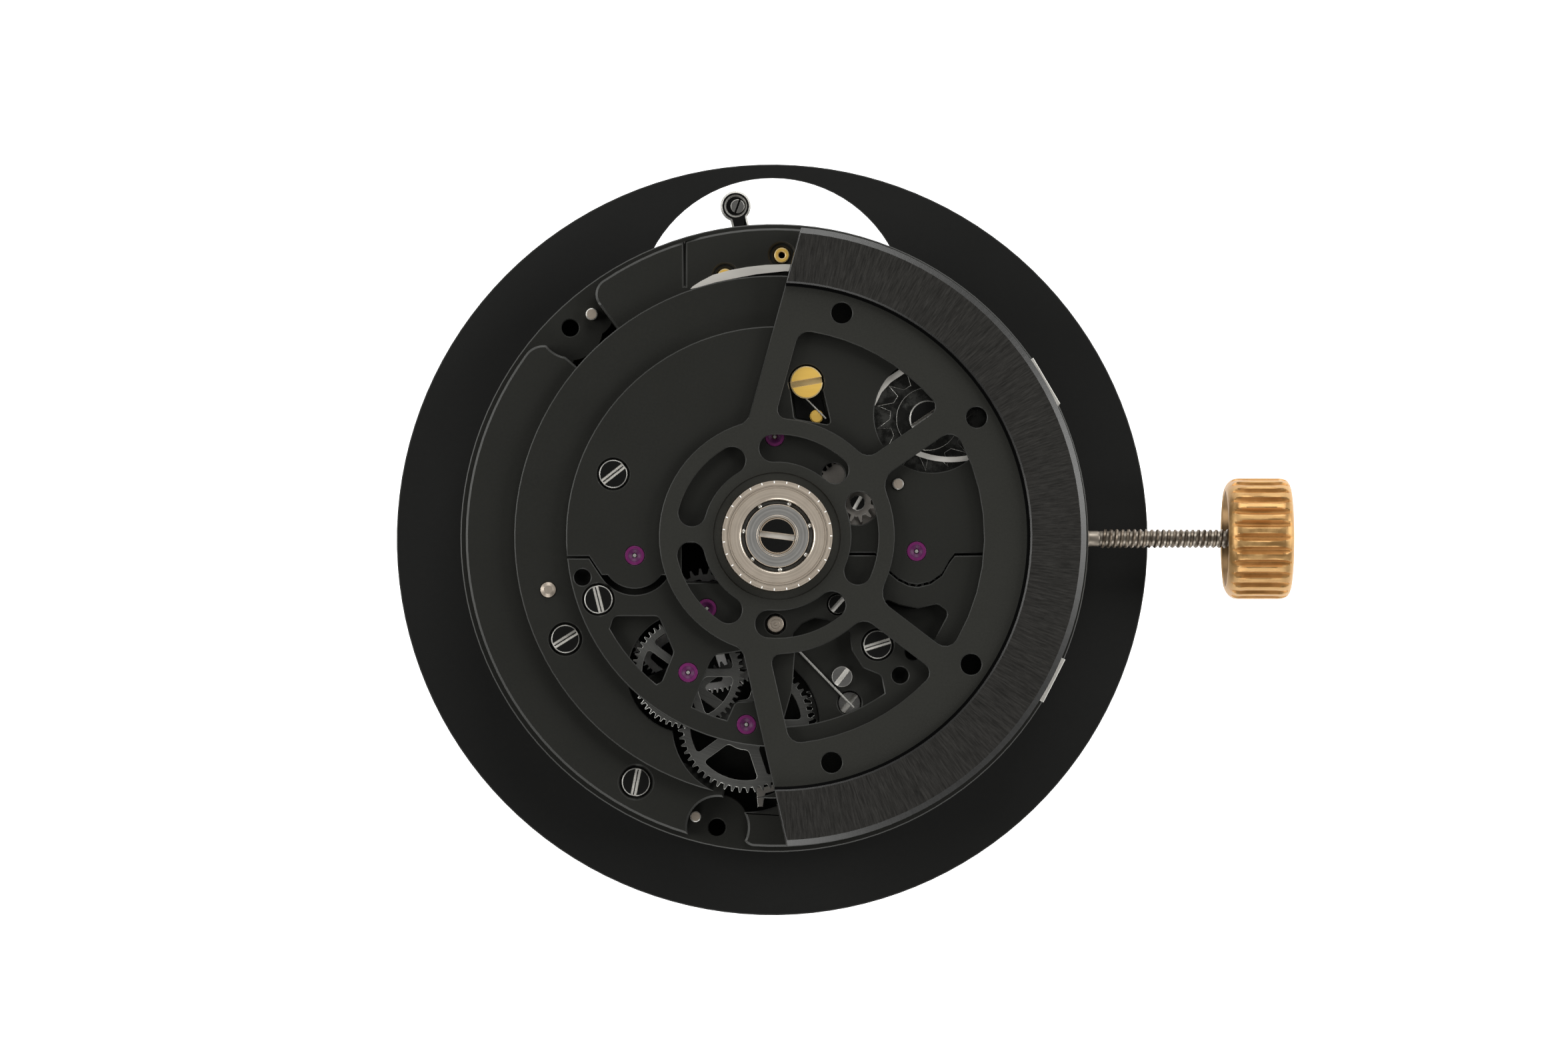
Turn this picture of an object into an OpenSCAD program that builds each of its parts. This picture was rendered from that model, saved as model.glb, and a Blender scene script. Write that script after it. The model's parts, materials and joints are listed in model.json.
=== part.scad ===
// Automatic chronograph movement seen from the rotor side.
// Z = 0 is the dial's front face, +Z points to the rotor, +X runs along the winding stem
// to the crown, and +Y points to the dial's six o'clock. Millimetres.

/* [Plate and dial] */
// Radius of the main plate where a case holds it
plate_r = 15.0; // [14.9:0.05:15.2]
// Radius of the dial disc
dial_r = 18.05; // [17.6:0.05:19]
// Thickness of the dial
dial_t = 0.4; // [0.3:0.05:0.4]
// Radius of the opening in the dial
aperture_r = 6.5; // [5.5:0.1:6.6]
// Radius of the two case screw holes
case_screw_r = 0.41; // [0.3:0.01:0.5]

/* [Bridges] */
// Outer radius of the low bridges
low_r = 14.75; // [14.7:0.01:14.85]
// Outer radius of the ring bridge
ring_r = 12.45; // [12.35:0.05:12.45]
// Outer radius of the two top bridges
top_r = 10.0; // [9.9:0.05:10.1]
// Gap between pieces that lie side by side
part_gap = 0.12; // [0.08:0.01:0.15]
// Head radius of the bridge screws
screw_r = 0.67; // [0.55:0.01:0.7]
// Radius of the jewels
jewel_r = 0.46; // [0.4:0.01:0.48]

/* [Rotor] */
// Outer radius of the rotor weight
weight_r = 14.7; // [14.6:0.05:14.75]
// Width of the rotor weight's top face and its two bevels
weight_w = 2.67; // [2.6:0.01:2.8]
// Radius of the rotor's hub disc
hub_r = 5.6; // [5.5:0.1:5.7]
// Inner radius of the rotor's rim
rim_inner_r = 9.85; // [9.7:0.05:9.95]
// Width of the rotor's two spokes
spoke_w = 1.15; // [0.9:0.05:1.3]
// Outer radius of the ball bearing
bearing_r = 2.62; // [2.5:0.01:2.8]

/* [Crown and stem] */
// Radius of the crown
crown_r = 2.9; // [2.5:0.05:3.1]
// Length of the crown
crown_len = 3.15; // [2.8:0.05:3.5]
// Number of flutes round the crown
crown_flutes = 28; // [20:2:34]
// Distance from the movement's axis to the crown's inner face
crown_x = 21.6; // [20:0.1:24]
// Radius of the stem's threaded end
stem_r = 0.45; // [0.4:0.01:0.48]

/* [Wheels] */
// Teeth of the second wheel
second_teeth = 54; // [48:1:60]
// Teeth of the third wheel
third_teeth = 54; // [48:1:60]
// Teeth of the fourth wheel
fourth_teeth = 96; // [80:1:110]
// Radius of the balance rim
balance_r = 4.2; // [3.6:0.1:4.2]

/* [Hand posts] */
// Radius of the hour hand's seat
hour_pipe_r = 1.0; // [0.9:0.05:1.2]
// Radius of the minute hand's seat
minute_pipe_r = 0.55; // [0.54:0.01:0.6]
// Radius of the seconds hand's seat
seconds_post_r = 0.15; // [0.12:0.01:0.15]

/* [Hidden] */
$fn = 96;

// Heights of the layers, counted from the dial's front face
seat_z = dial_t;
floor_z0 = 1.4;
floor_z1 = 1.9;
flange_z = 2.85;
rim_z = 3.3;
low_z = 4.2;
ring_z = 4.85;
top_z = 5.45;
frame_z0 = 5.68;
frame_z1 = 6.0;
weight_z0 = 4.5;
weight_z1 = 6.45;
bearing_z = 6.55;
stem_z = 2.35;
run = 0.04;      // radial clearance of a running fit

// Pivots of the going train, each under its upper jewel
second_at = [-1.43, -8.94];
third_at = [-4.20, -6.47];
fourth_at = [-3.32, -3.44];
escape_at = [-6.74, -0.91];
reduction_at = [6.66, -0.70];
counter_at = [-0.09, 4.75];
coupling_at = [-0.05, -4.17];
transfer_at = [3.85, 1.6];
reverser_at = [7.2, 5.6];
column_at = [8.3, 7.0];
operating_at = [12.0, 3.6];
reset_at = [10.3, -8.6];
minute_wheel_at = [3.0, 0];

function pol(r, a) = [r * cos(a), r * sin(a)];
function unit(v) = v / norm(v);
function left(v) = [-v[1], v[0]];
function aim(p, q) = atan2(q[1] - p[1], q[0] - p[0]);
function deg(r) = r * 180 / PI;
// the point at distances rp from p and rq from q, on the right going from p to q
function crossing(p, rp, q, rq) = let (d = norm(q - p), x = (d * d + rp * rp - rq * rq) / (2 * d),
  u = unit(q - p)) p + x * u - sqrt(rp * rp - x * x) * left(u);
// the turn at which a second wheel's teeth fall in the gaps of a first one
function mate_turn(way, teeth, turn, mate_teeth) = way + 180
  - (0.5 - (way - turn) * teeth / 360) * 360 / mate_teeth;

// Escapement in one line from the escape wheel to the balance
escape_r = 1.73;
line_dir = pol(1, 100);
pallet_at = escape_at + 2.0 * line_dir;
balance_at = escape_at + 5.0 * line_dir;

// Tooth counts and modules; each pair's module comes from its centre distance
second_leaves = 10;
third_leaves = 10;
fourth_leaves = 12;
escape_leaves = 8;
barrel_teeth = 84;
barrel_mesh = 5.77;
barrel_at = second_at + pol(barrel_mesh, 13.4);
m_barrel = 2 * barrel_mesh / (barrel_teeth + second_leaves);
m_second = 2 * norm(third_at - second_at) / (second_teeth + third_leaves);
m_third = 2 * norm(fourth_at - third_at) / (third_teeth + fourth_leaves);
m_fourth = 2 * norm(escape_at - fourth_at) / (fourth_teeth + escape_leaves);
rotor_teeth = 40;
transfer_teeth = 47;
m_rotor = 2 * norm(transfer_at) / (rotor_teeth + transfer_teeth);
reverser_teeth = 62;
m_reverser = 2 * norm(reverser_at - transfer_at) / (transfer_teeth + reverser_teeth);
transfer_turn = aim(transfer_at, [0, 0]) + 180 / transfer_teeth;
reduction_teeth = 32;
transfer_lower_teeth = 39;
m_reduction = 2 * norm(reduction_at - transfer_at) / (reduction_teeth + transfer_lower_teeth);
reduction_leaves = 10;
ratchet_teeth = 52;
winding_teeth = 51;
crown_wheel_teeth = 26;
m_winding = 0.0998;
winding_at = crossing(barrel_at, m_winding * (ratchet_teeth + winding_teeth) / 2,
  reduction_at, m_winding * (reduction_leaves + winding_teeth) / 2);
// the crown wheel's axis meets the stem's, so that the two mesh at a right angle
crown_wheel_at = [winding_at[0] + sqrt(pow(m_winding * (winding_teeth + crown_wheel_teeth) / 2, 2)
  - pow(winding_at[1], 2)), 0];
winding_turn = aim(winding_at, barrel_at) + 180 / winding_teeth;
drive_teeth = 26;
coupling_teeth = 21;
chrono_teeth = 36;
m_drive = 2 * norm(coupling_at - fourth_at) / (drive_teeth + coupling_teeth);
chrono_gap = 0.1;
m_chrono = 2 * (norm(coupling_at) - chrono_gap) / (coupling_teeth + chrono_teeth);
// swung inwards by its lever, the coupling wheel meshes with the chronograph wheel
coupling_swing = 1.75;
coupling_turn = aim(coupling_at, fourth_at) + 180 / coupling_teeth;
meshed_at = fourth_at + pol(norm(coupling_at - fourth_at), aim(fourth_at, coupling_at)
  + coupling_swing);
chrono_turn = mate_turn(aim(meshed_at, [0, 0]), coupling_teeth, coupling_turn + coupling_swing,
  chrono_teeth);
cannon_teeth = 12;
minute_teeth = 36;
minute_leaves = 10;
hour_teeth = 40;
setting_teeth = 14;
m_minute = 2 * norm(minute_wheel_at) / (cannon_teeth + minute_teeth);
m_hour = 2 * norm(minute_wheel_at) / (minute_leaves + hour_teeth);
setting_at = minute_wheel_at + [m_minute * (minute_teeth + setting_teeth) / 2, 0];

// Rotor: the weight laps over the frame as far as lap_r; the end arms run beside radial lines
weight_inner_r = weight_r - weight_w;
lap_r = weight_inner_r + 0.67;
rotor_turn = -1.3;
arm_dir = 75.8;
arm_in = 1.59;
arm_out = 2.80;
spoke_dir = 36.0;

// The plate's wall, its recess for the dial's wheels and the floor between them
wall_r = plate_r - 0.8;
under_r = plate_r - 2.5;
// Case screw holes and the round recess that each sits in
case_holes = [[-9.77, 10.01], [-2.76, -13.82]];
recess_r = 1.45;

bridge_screw_at = [[-8.46, -3.0], [4.80, -5.14], [-7.76, 2.96], [-10.02, -4.87],
  [-6.65, -11.67]];
bridge_screw_z = [top_z, top_z, top_z, ring_z, low_z];
bridge_screw_slot = [104, 17, 38, 32, 79];

second_clear_r = 3.5;
third_clear_r = 2.85;
ring_holes = [[fourth_at, 0.85], [escape_at, 0.6], [reduction_at, 0.75],
  [coupling_at, 0.55]];
// Line where the two top bridges meet, below the rotor's hub
meet = [[-10.5, -1.0], [-8.9, -1.0], [-8.3, -1.9], [-5.2, -1.9], [-4.6, -2.15], [-2.6, -2.15],
  [-1.2, -2.9], [1.6, -2.4], [2.8, -0.83], [4.69, -0.83], [5.0, -1.1], [5.34, -1.66],
  [5.8, -2.04], [6.3, -2.28], [6.72, -2.34], [7.33, -2.19], [7.87, -1.81], [8.22, -1.19],
  [8.48, -0.85], [10.5, -0.83]];
// Openings of the train bridge
train_cutouts = [
  [[-7.95, -4.5], [-7.72, -3.79], [-5.6, -3.79], [-4.88, -5.5], [-5.45, -6.9], [-6.05, -7.2]],
  [[-3.16, -5.98], [-2.92, -5.64], [-1.55, -5.43], [-0.6, -5.75], [-0.3, -6.9], [-0.90, -7.83],
    [-1.96, -7.87], [-2.45, -8.95], [-4.1, -8.3]],
  [[3.43, -4.41], [3.58, -5.41], [4.12, -6.25], [4.98, -6.6], [5.2, -7.75], [1.2, -9.4],
    [0.2, -9.2], [0.75, -7.3], [0.9, -5.2], [0.75, -4.65], [1.21, -4.15], [1.82, -3.88],
    [2.5, -3.98]],
  [[4.92, -2.88], [5.80, -3.26], [6.72, -3.42], [7.66, -3.2], [8.2, -3.6], [7.45, -5.02],
    [6.6, -4.9], [5.3, -3.9]]];
gold_screw_at = [1.42, 7.33];
small_screw_at = [[3.13, -6.66], [3.5, -7.9], [2.92, -3.22]];
// Round window over the reverser wheel
window_at = [7.4, 5.8];
window_r = 2.76;
top_pin_at = [5.78, 2.5];
edge_pin_at = [-0.26, 14.8];
corrector_at = [-1.4, 11.2];
bushing_at = [[0.30, 13.46], [-2.4, 12.45]];
click_at = barrel_at + pol(m_winding * ratchet_teeth / 2 + 0.55, 238);
click_tail = [click_at, [1.2, -11.6], [-0.66, -12.1]];
drive_gap = [[-4.5, -2.12], [-2.8, -2.12], [-3.2, -0.3], [-4.5, -0.3]];
// Outline of the curved spring, as radius and angle
spring_back = [[13.05, 84], [13.02, 88], [12.99, 92], [12.95, 96], [12.91, 100], [12.85, 103.5],
  [12.7, 106.5], [12.58, 108.4]];
spring_belly = [[12.5, 109], [12.47, 107.5], [12.48, 103], [12.5, 98], [12.57, 94], [12.69, 88],
  [12.72, 84]];
hammer_studs = [[4.4, 1.68], [7.2, 2.21]];
// the arbor, its tube and the two pipes run in each other behind the hand seats
arbor_r = 0.31;
tube_r = 0.39;
minute_tube_r = 0.72;
hour_tube_r = 1.2;
lower_jewel_at = [second_at, fourth_at, escape_at, balance_at];
winding_z0 = 3.38;
winding_z1 = 3.6;
hairspring_z0 = 3.26;
hairspring_z1 = 3.38;
lever_z0 = 3.75;
lever_z1 = 4.05;
tab_r = plate_r - 0.03;
start_pad = pol(tab_r - 0.69, 27.1);
reset_pad = pol(tab_r - 1.0, -26.4);
hammer_travel = 0.35;
setting_lever_at = [11.8, 2.2];
yoke_at = [8.1, -3.4];

// Drawing helpers
module at(p, z = 0) translate([p[0], p[1], z]) children();
module slab(z0, z1) translate([0, 0, z0]) linear_extrude(z1 - z0) children();
module rod(r, z0, z1) translate([0, 0, z0]) cylinder(r = r, h = z1 - z0);
module rod_at(p, r, z0, z1) translate([p[0], p[1], z0]) cylinder(r = r, h = z1 - z0);
module dot(p, r) translate(p) circle(r = r);
module bar(p, q, w) {
  n = left(unit(q - p)) * w / 2;
  polygon([p + n, p - n, q - n, q + n]);
}
module track(points, w) {
  for (i = [0:len(points) - 2]) bar(points[i], points[i + 1], w);
  for (p = points) dot(p, w / 2);
}
module wedge(a0, a1, r = 25) {
  steps = ceil((a1 - a0) / 30);
  polygon(concat([[0, 0]], [for (i = [0:steps]) pol(r, a0 + (a1 - a0) * i / steps)]));
}
module ring(r0, r1) difference() {
  circle(r = r1);
  circle(r = r0);
}
module sector(r0, r1, a0, a1) intersection() {
  ring(r0, r1);
  wedge(a0, a1);
}

// Outline with each corner rounded to radius r
function fillet(a, b, c, r, n) =
  let (
    u = unit(a - b), v = unit(c - b), half = acos(max(-1, min(1, u * v))) / 2,
    cut = min(r / tan(half), norm(a - b) * 0.48, norm(c - b) * 0.48),
    rr = cut * tan(half), mid = b + unit(u + v) * rr / sin(half),
    a0 = aim(mid, b + u * cut), turn = aim(mid, b + v * cut) - a0,
    sweep = turn > 180 ? turn - 360 : turn < -180 ? turn + 360 : turn
  )
  half > 89 ? [b] : [for (i = [0:n]) mid + pol(rr, a0 + sweep * i / n)];
function rounded(p, r, n = 5) =
  [for (i = [0:len(p) - 1]) each fillet(p[(i + len(p) - 1) % len(p)], p[i],
    p[(i + 1) % len(p)], r, n)];

// Opening between two sides whose angles at radius r are a0(r) and a1(r).
// A side runs beside the radial line at angle d, shifted sideways by s.
function side(r, d, s) = d + asin(s / r);
function opening(r0, r1, d0, s0, d1, s1, c, n = 4, m = 8) = concat(
  [for (i = [0:n]) let (t = 180 + 90 * i / n, r = r0 + c + c * sin(t))
    pol(r, side(r, d0, s0) + deg((c + c * cos(t)) / r))],
  [for (i = [1:m - 1]) let (a = side(r0, d0, s0) + deg(c / r0),
    b = side(r0, d1, s1) - deg(c / r0)) pol(r0, a + (b - a) * i / m)],
  [for (i = [0:n]) let (t = 270 + 90 * i / n, r = r0 + c + c * sin(t))
    pol(r, side(r, d1, s1) - deg((c - c * cos(t)) / r))],
  [for (i = [0:n]) let (t = 90 * i / n, r = r1 - c + c * sin(t))
    pol(r, side(r, d1, s1) - deg((c - c * cos(t)) / r))],
  [for (i = [1:m - 1]) let (a = side(r1, d1, s1) - deg(c / r1),
    b = side(r1, d0, s0) + deg(c / r1)) pol(r1, a + (b - a) * i / m)],
  [for (i = [0:n]) let (t = 90 + 90 * i / n, r = r1 - c + c * sin(t))
    pol(r, side(r, d0, s0) + deg((c + c * cos(t)) / r))]);

// Toothed disc with a tooth centred on angle turn
// a sector whose outer corner at angle a0 (end 0) or a1 (end 1) is rounded
module round_sector(r0, r1, a0, a1, f, end) {
  back = asin(f / (r1 - f));
  sector(r0, r1 - f, a0, a1);
  sector(r0, r1, a0 + (end == 0 ? back : 0), a1 - (end == 1 ? back : 0));
  dot(pol(r1 - f, end == 0 ? a0 + back : a1 - back), f);
}
module gear(teeth, m, turn = 0) {
  r = teeth * m / 2;
  step = 360 / teeth;
  polygon([for (i = [0:teeth - 1]) each [
    pol(r - 1.15 * m, turn + step * (i - 0.29)), pol(r + 0.85 * m, turn + step * (i - 0.11)),
    pol(r + 0.85 * m, turn + step * (i + 0.11)), pol(r - 1.15 * m, turn + step * (i + 0.29))]]);
}
// Toothed disc with spokes between a hub and a rim
module spoked_gear(teeth, m, turn, hub, rim, spokes, w) difference() {
  gear(teeth, m, turn);
  for (k = [0:spokes - 1]) polygon(opening(hub, teeth * m / 2 - 1.15 * m - rim,
    360 / spokes * k, w / 2, 360 / spokes * (k + 1), -w / 2, 0.18));
}
// Slotted cheese head, its top at z
module screw_head(r, z, slot_w, turn, depth = 0.35) difference() {
  union() {
    rod(r, z - depth, z - 0.06);
    translate([0, 0, z - 0.06]) cylinder(r1 = r, r2 = r - 0.06, h = 0.06);
  }
  rotate(turn) translate([-r - 1, -slot_w / 2, z - 0.14]) cube([2 * r + 2, slot_w, 1]);
}
// Spiral band as one outline
module spiral(r0, r1, turns, w, steps = 20) {
  n = turns * steps;
  function at_step(i, side) = pol(r0 + (r1 - r0) * i / n + side * w / 2, 360 * i / steps);
  polygon(concat([for (i = [0:n]) at_step(i, 1)], [for (i = [n:-1:0]) at_step(i, -1)]));
}

// Fixed pieces

module main_plate() color([0.36, 0.35, 0.32]) difference() {
  union() {
    difference() {
      union() {
        rod(plate_r - 0.2, seat_z, flange_z);
        rod(plate_r, flange_z, rim_z);
      }
      rod(under_r, seat_z - 1, floor_z0);
      rod(wall_r, floor_z1, rim_z + 1);
    }
    // bosses under the case screws and the low bridges' screws
    slab(floor_z0, rim_z) intersection() {
      circle(r = plate_r - 0.3);
      union() {
        for (p = [pol(13.9, 129.5), pol(13.9, 140)]) dot(p, 1.2);
        for (p = case_holes) dot(p, recess_r + 0.15);
      }
    }
    slab(floor_z1 - 0.1, rim_z) intersection() {
      circle(r = plate_r - 0.3);
      for (p = [bridge_screw_at[4], pol(13.4, 60), pol(13.4, 100)]) dot(p, 0.8);
    }
    // pillars under the ring bridge
    for (p = [bridge_screw_at[0], bridge_screw_at[3], [6.0, 9.2], [-1.7, 9.6]])
      rod_at(p, 0.45, floor_z1 - 0.1, low_z);
    // studs of the levers, the column wheel and the hammer
    for (p = [operating_at, reset_at]) rod_at(p, 0.32, floor_z1 - 0.1, 4.12);
    rod_at(column_at, 0.55, floor_z1 - 0.1, 3.2);
    rod_at(column_at, 0.25, 3.1, 4.12);
    for (p = hammer_studs) rod_at(p, 0.2, floor_z1 - 0.1, 3.8);
    // stud of the minute wheel and the tube round the seconds arbor
    rod_at(minute_wheel_at, 0.25, 0.5, floor_z0 + 0.1);
    rod_at(corrector_at, 0.2, seat_z + 0.1, floor_z0 + 0.1);
    rod_at(setting_at, 0.2, 0.7, floor_z0 + 0.1);
    rod(tube_r, 0.0, 2.6);
  }
  // bore of the centre tube
  rod(arbor_r + run / 2, -1, 3);
  // case screw holes
  for (p = case_holes) rod_at(p, case_screw_r, 1.2, 5);
  // way of the stem and window of the winding pinions
  translate([14, 0, stem_z]) rotate([0, 90, 0]) cylinder(r = 0.52, h = 2);
  translate([6.9, -1.35, 0.9]) cube([7.35, 2.7, 1.2]);
  // seats of the lower jewels
  for (p = lower_jewel_at) rod_at(p, jewel_r, 1, 2.2);
  // barrel arbor's lower pivot
  rod_at(barrel_at, 0.5, 1, 2.2);
  // seat of the pin in the dial's opening
  rod_at(edge_pin_at, 0.27, 0, 1.2);
  // way of the corrector lever
  translate([-2.3, 12, seat_z - 1]) cube([1.85, 4, 1.62]);
}

module dial() color([0.05, 0.05, 0.05]) difference() {
  slab(0, dial_t) difference() {
    circle(r = dial_r);
    dot([0, dial_r - aperture_r - 0.65], aperture_r);
    circle(r = hour_tube_r + 0.15);
  }
}

module low_outline(a0, a1, f, end) difference() {
  round_sector(11.6, low_r, a0, a1, f, end);
  for (p = case_holes) dot(p, recess_r);
}

module low_bridge_left() color([0.22, 0.22, 0.20]) difference() {
  union() {
    slab(rim_z, low_z) low_outline(139.4, 258.7, 1.05, 0);
    // arm that carries the third wheel's lower jewel
    slab(3.5, 3.9) track([pol(12.2, 224.5), third_at], 1.3);
  }
  rod_at(third_at, jewel_r, 3, 4.5);
  rod_at(bridge_screw_at[4], 0.34, 2, 5);
  rod_at(bridge_screw_at[4], screw_r + 0.1, low_z - 0.3, 5);
}

module low_bridge_top() color([0.22, 0.22, 0.20]) difference() {
  slab(rim_z, low_z) low_outline(38, 127.2, 0.8, 1);
  rod_at(column_at, 1.55, 3, 5);
  for (b = bushing_at) {
    rod_at(b, 0.36, 3, 5);
    rod_at(b, 0.58, low_z - 0.18, 5);
  }
  // seam between the bridge and its inlaid end
  translate([-4.365, 12, low_z - 0.12]) cube([0.05, 3, 1]);
}

module barrel_bridge() color([0.22, 0.22, 0.20]) difference() {
  slab(rim_z, low_z) {
    difference() {
      low_outline(-96.4, -48, 0.6, 0);
      dot(second_at, second_clear_r + 0.65);
    }
    difference() {
      union() {
        dot(barrel_at, 4.2);
        dot(winding_at, 1.1);
        bar(barrel_at, winding_at, 2.2);
      }
      circle(r = 3.4);
      dot(second_at, second_clear_r);
      dot(coupling_at, 2.0);
    }
  }
  // pocket of the ratchet wheel, the winding wheel and the click
  slab(rim_z - 1, 3.72) {
    dot(barrel_at, m_winding * ratchet_teeth / 2 + 0.3);
    dot(winding_at, m_winding * winding_teeth / 2 + 0.3);
    dot(click_at, 1.35);
    track(concat(click_tail, [[-0.3, -13.3]]), 1.1);
  }
  rod_at(barrel_at, 0.45 + run, 3, 5);
  rod_at(winding_at, 0.3, 3, 5);
  rod_at(small_screw_at[1], 0.2, 3.8, 5);
}

module ring_bridge() color([0.24, 0.24, 0.22]) difference() {
  union() {
    slab(low_z, ring_z) difference() {
      circle(r = ring_r);
      dot(second_at, second_clear_r);
      dot(third_at, third_clear_r);
    }
    // studs of the winding wheel and the crown wheel
    for (p = [winding_at, crown_wheel_at]) rod_at(p, 0.26, 3.3, low_z);
  }
  for (h = ring_holes) rod_at(h[0], h[1], 3.2, 5);
  for (p = [[0, 0], counter_at, balance_at]) rod_at(p, jewel_r, 4, 5);
  for (i = [0:3]) rod_at(bridge_screw_at[i], 0.34, 4, 5);
  rod_at(bridge_screw_at[3], screw_r + 0.12, ring_z - 0.3, 5);
  rod_at([-10.84, -2.53], 0.36, 4, 5);
  // the wire spring's screw and the small screw below the train bridge
  rod_at(small_screw_at[0], 0.3, 4, 5);
  rod_at(small_screw_at[1], 0.58, 4, 5);
  // gap over the chronograph's driving wheel
  slab(4, 5) polygon(rounded(drive_gap, 0.15, 3));
}

module above_meet(gap) polygon(concat([for (p = meet) p + [0, gap]], [[12, 12], [-12, 12]]));

module automatic_bridge() color([0.25, 0.25, 0.23]) difference() {
  slab(ring_z, top_z) difference() {
    union() {
      intersection() {
        circle(r = top_r);
        above_meet(part_gap / 2);
      }
      dot(escape_at, 1.88 - 0.3);
    }
    dot(window_at, window_r);
    polygon(rounded([[0.66, 7.0], [2.2, 7.0], [2.6, 5.3], [0.85, 5.6]], 0.15, 3));
    dot([2.7, 2.95], 0.55);
    polygon(rounded(drive_gap, 0.15, 3));
  }
  // pocket of the automatic wheels and the opening round the rotor's gear
  slab(ring_z - 1, 5.22) {
    dot(transfer_at, m_rotor * transfer_teeth / 2 + 0.25);
    dot(reverser_at, m_reverser * reverser_teeth / 2 + 0.25);
    dot(reduction_at, m_reduction * reduction_teeth / 2 + 0.25);
  }
  rod(m_rotor * rotor_teeth / 2 + 0.3, 4, 6);
  for (p = [escape_at, reduction_at, counter_at]) rod_at(p, jewel_r, 4, 6);
  rod_at(transfer_at, 1.05, 4, 6);
  rod_at(gold_screw_at, 0.42, 4, 6);
  rod_at(gold_screw_at, 0.85, top_z - 0.3, 6);
  rod_at(bridge_screw_at[2], 0.34, 4, 6);
  rod_at(bridge_screw_at[2], screw_r + 0.1, top_z - 0.3, 6);
  rod_at(top_pin_at, 0.27, 5, 6);
}

module train_bridge() color([0.25, 0.25, 0.23]) difference() {
  slab(ring_z, top_z) difference() {
    circle(r = top_r);
    above_meet(-part_gap / 2);
    dot(escape_at, 1.88);
    circle(r = m_rotor * rotor_teeth / 2 + 0.3);
    for (c = train_cutouts) intersection() {
      polygon(rounded(c, 0.3));
      circle(r = 9.05);
    }
    dot(coupling_at, 0.5);
  }
  slab(ring_z - 1, 5.22) dot(reduction_at, m_reduction * reduction_teeth / 2 + 0.25);
  for (p = [second_at, third_at, fourth_at]) rod_at(p, jewel_r, 4, 6);
  for (i = [0, 1]) {
    rod_at(bridge_screw_at[i], 0.34, 4, 6);
    rod_at(bridge_screw_at[i], screw_r + 0.1, top_z - 0.3, 6);
  }
  for (p = [[-9.22, -1.95], [5.88, -6.59]]) rod_at(p, 0.4, 4, 6);
  rod_at(small_screw_at[2], 0.28, 4, 6);
  rod_at(small_screw_at[2], 0.53, top_z - 0.35, 6);
  rod_at([6.53, -5.47], 0.4, 4, 6);
}

module bridge_screws() color([0.10, 0.10, 0.10]) for (i = [0:4]) at(bridge_screw_at[i]) {
  screw_head(screw_r, bridge_screw_z[i] + 0.06, 0.2, bridge_screw_slot[i]);
  rod(0.3, bridge_screw_z[i] - (i == 3 ? 0.6 : i == 4 ? 0.8 : 1.1), bridge_screw_z[i] - 0.25);
}

module gold_screw() color([0.78, 0.63, 0.25]) at(gold_screw_at) {
  screw_head(0.77, top_z + 0.06, 0.24, 10);
  rod(0.38, ring_z, top_z - 0.25);
}

module small_screws() color([0.62, 0.62, 0.62]) {
  for (i = [0:1]) at(small_screw_at[i]) {
    screw_head(i == 0 ? 0.49 : 0.54, i == 0 ? ring_z + 0.3 : low_z + 0.3, 0.2, 52, 0.2);
    rod(i == 0 ? 0.26 : 0.18, i == 0 ? ring_z - 0.5 : 3.85, i == 0 ? ring_z + 0.12 : low_z + 0.12);
  }
  at(small_screw_at[2]) {
    screw_head(0.45, top_z - 0.05, 0.16, 48, 0.22);
    rod(0.24, ring_z, top_z - 0.2);
  }
  at(transfer_at) {
    screw_head(0.36, top_z + 0.05, 0.12, 60, 0.16);
    rod(0.12, ring_z, 5.4);
  }
  // screw that holds the reverser's upper disc
  at(reverser_at) {
    screw_head(0.88, 5.56, 0.4, 34, 0.2);
    rod(0.22, ring_z, 5.4);
  }
}

// Ring jewel with an oil sink, its polished face at z
module jewel(z0, z1) difference() {
  rod(jewel_r, z0, z1);
  rod(0.12, z0 - 1, z1 + 1);
  translate([0, 0, z1 - 0.1]) cylinder(r1 = 0.12, r2 = 0.34, h = 0.11);
}
module jewels() color([0.48, 0.16, 0.48]) {
  for (p = [second_at, third_at, fourth_at, escape_at, reduction_at]) at(p) jewel(5.1, top_z);
  at(counter_at) jewel(5.22, top_z);
  jewel(4.4, 4.8);
  at(balance_at) jewel(4.4, 4.8);
  for (p = lower_jewel_at) at(p) jewel(1.5, 1.9);
  at(third_at) jewel(3.55, 3.85);
}

module gold_bushings() color([0.78, 0.63, 0.25]) for (b = bushing_at) at(b) difference() {
  rod(0.36, rim_z, low_z - 0.02);
  rod(0.16, 3, 5);
}

module locating_pins() color([0.7, 0.7, 0.68]) {
  at([-10.84, -2.53]) {
    rod(0.36, 3.8, ring_z + 0.05);
    translate([0, 0, ring_z + 0.05]) cylinder(r1 = 0.36, r2 = 0.2, h = 0.12);
  }
  at(top_pin_at) rod(0.27, 5.22, top_z + 0.12);
  at([-3.8, -13.31]) rod(0.26, rim_z, rim_z + 0.5);
  at([-8.76, 10.65]) rod(0.28, rim_z, rim_z + 0.5);
  at(edge_pin_at) rod(0.27, 0.5, 1.2);
}

module balance_cock() color([0.30, 0.30, 0.28]) {
  difference() {
    union() {
      slab(3.45, 3.95) {
        track([[-2.9, 6.7], balance_at], 1.7);
        dot(balance_at, 1.15);
      }
      rod_at([-2.9, 6.7], 0.85, floor_z1, 3.95);
    }
    rod_at(balance_at, 0.3, 3, 5);
  }
}

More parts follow.
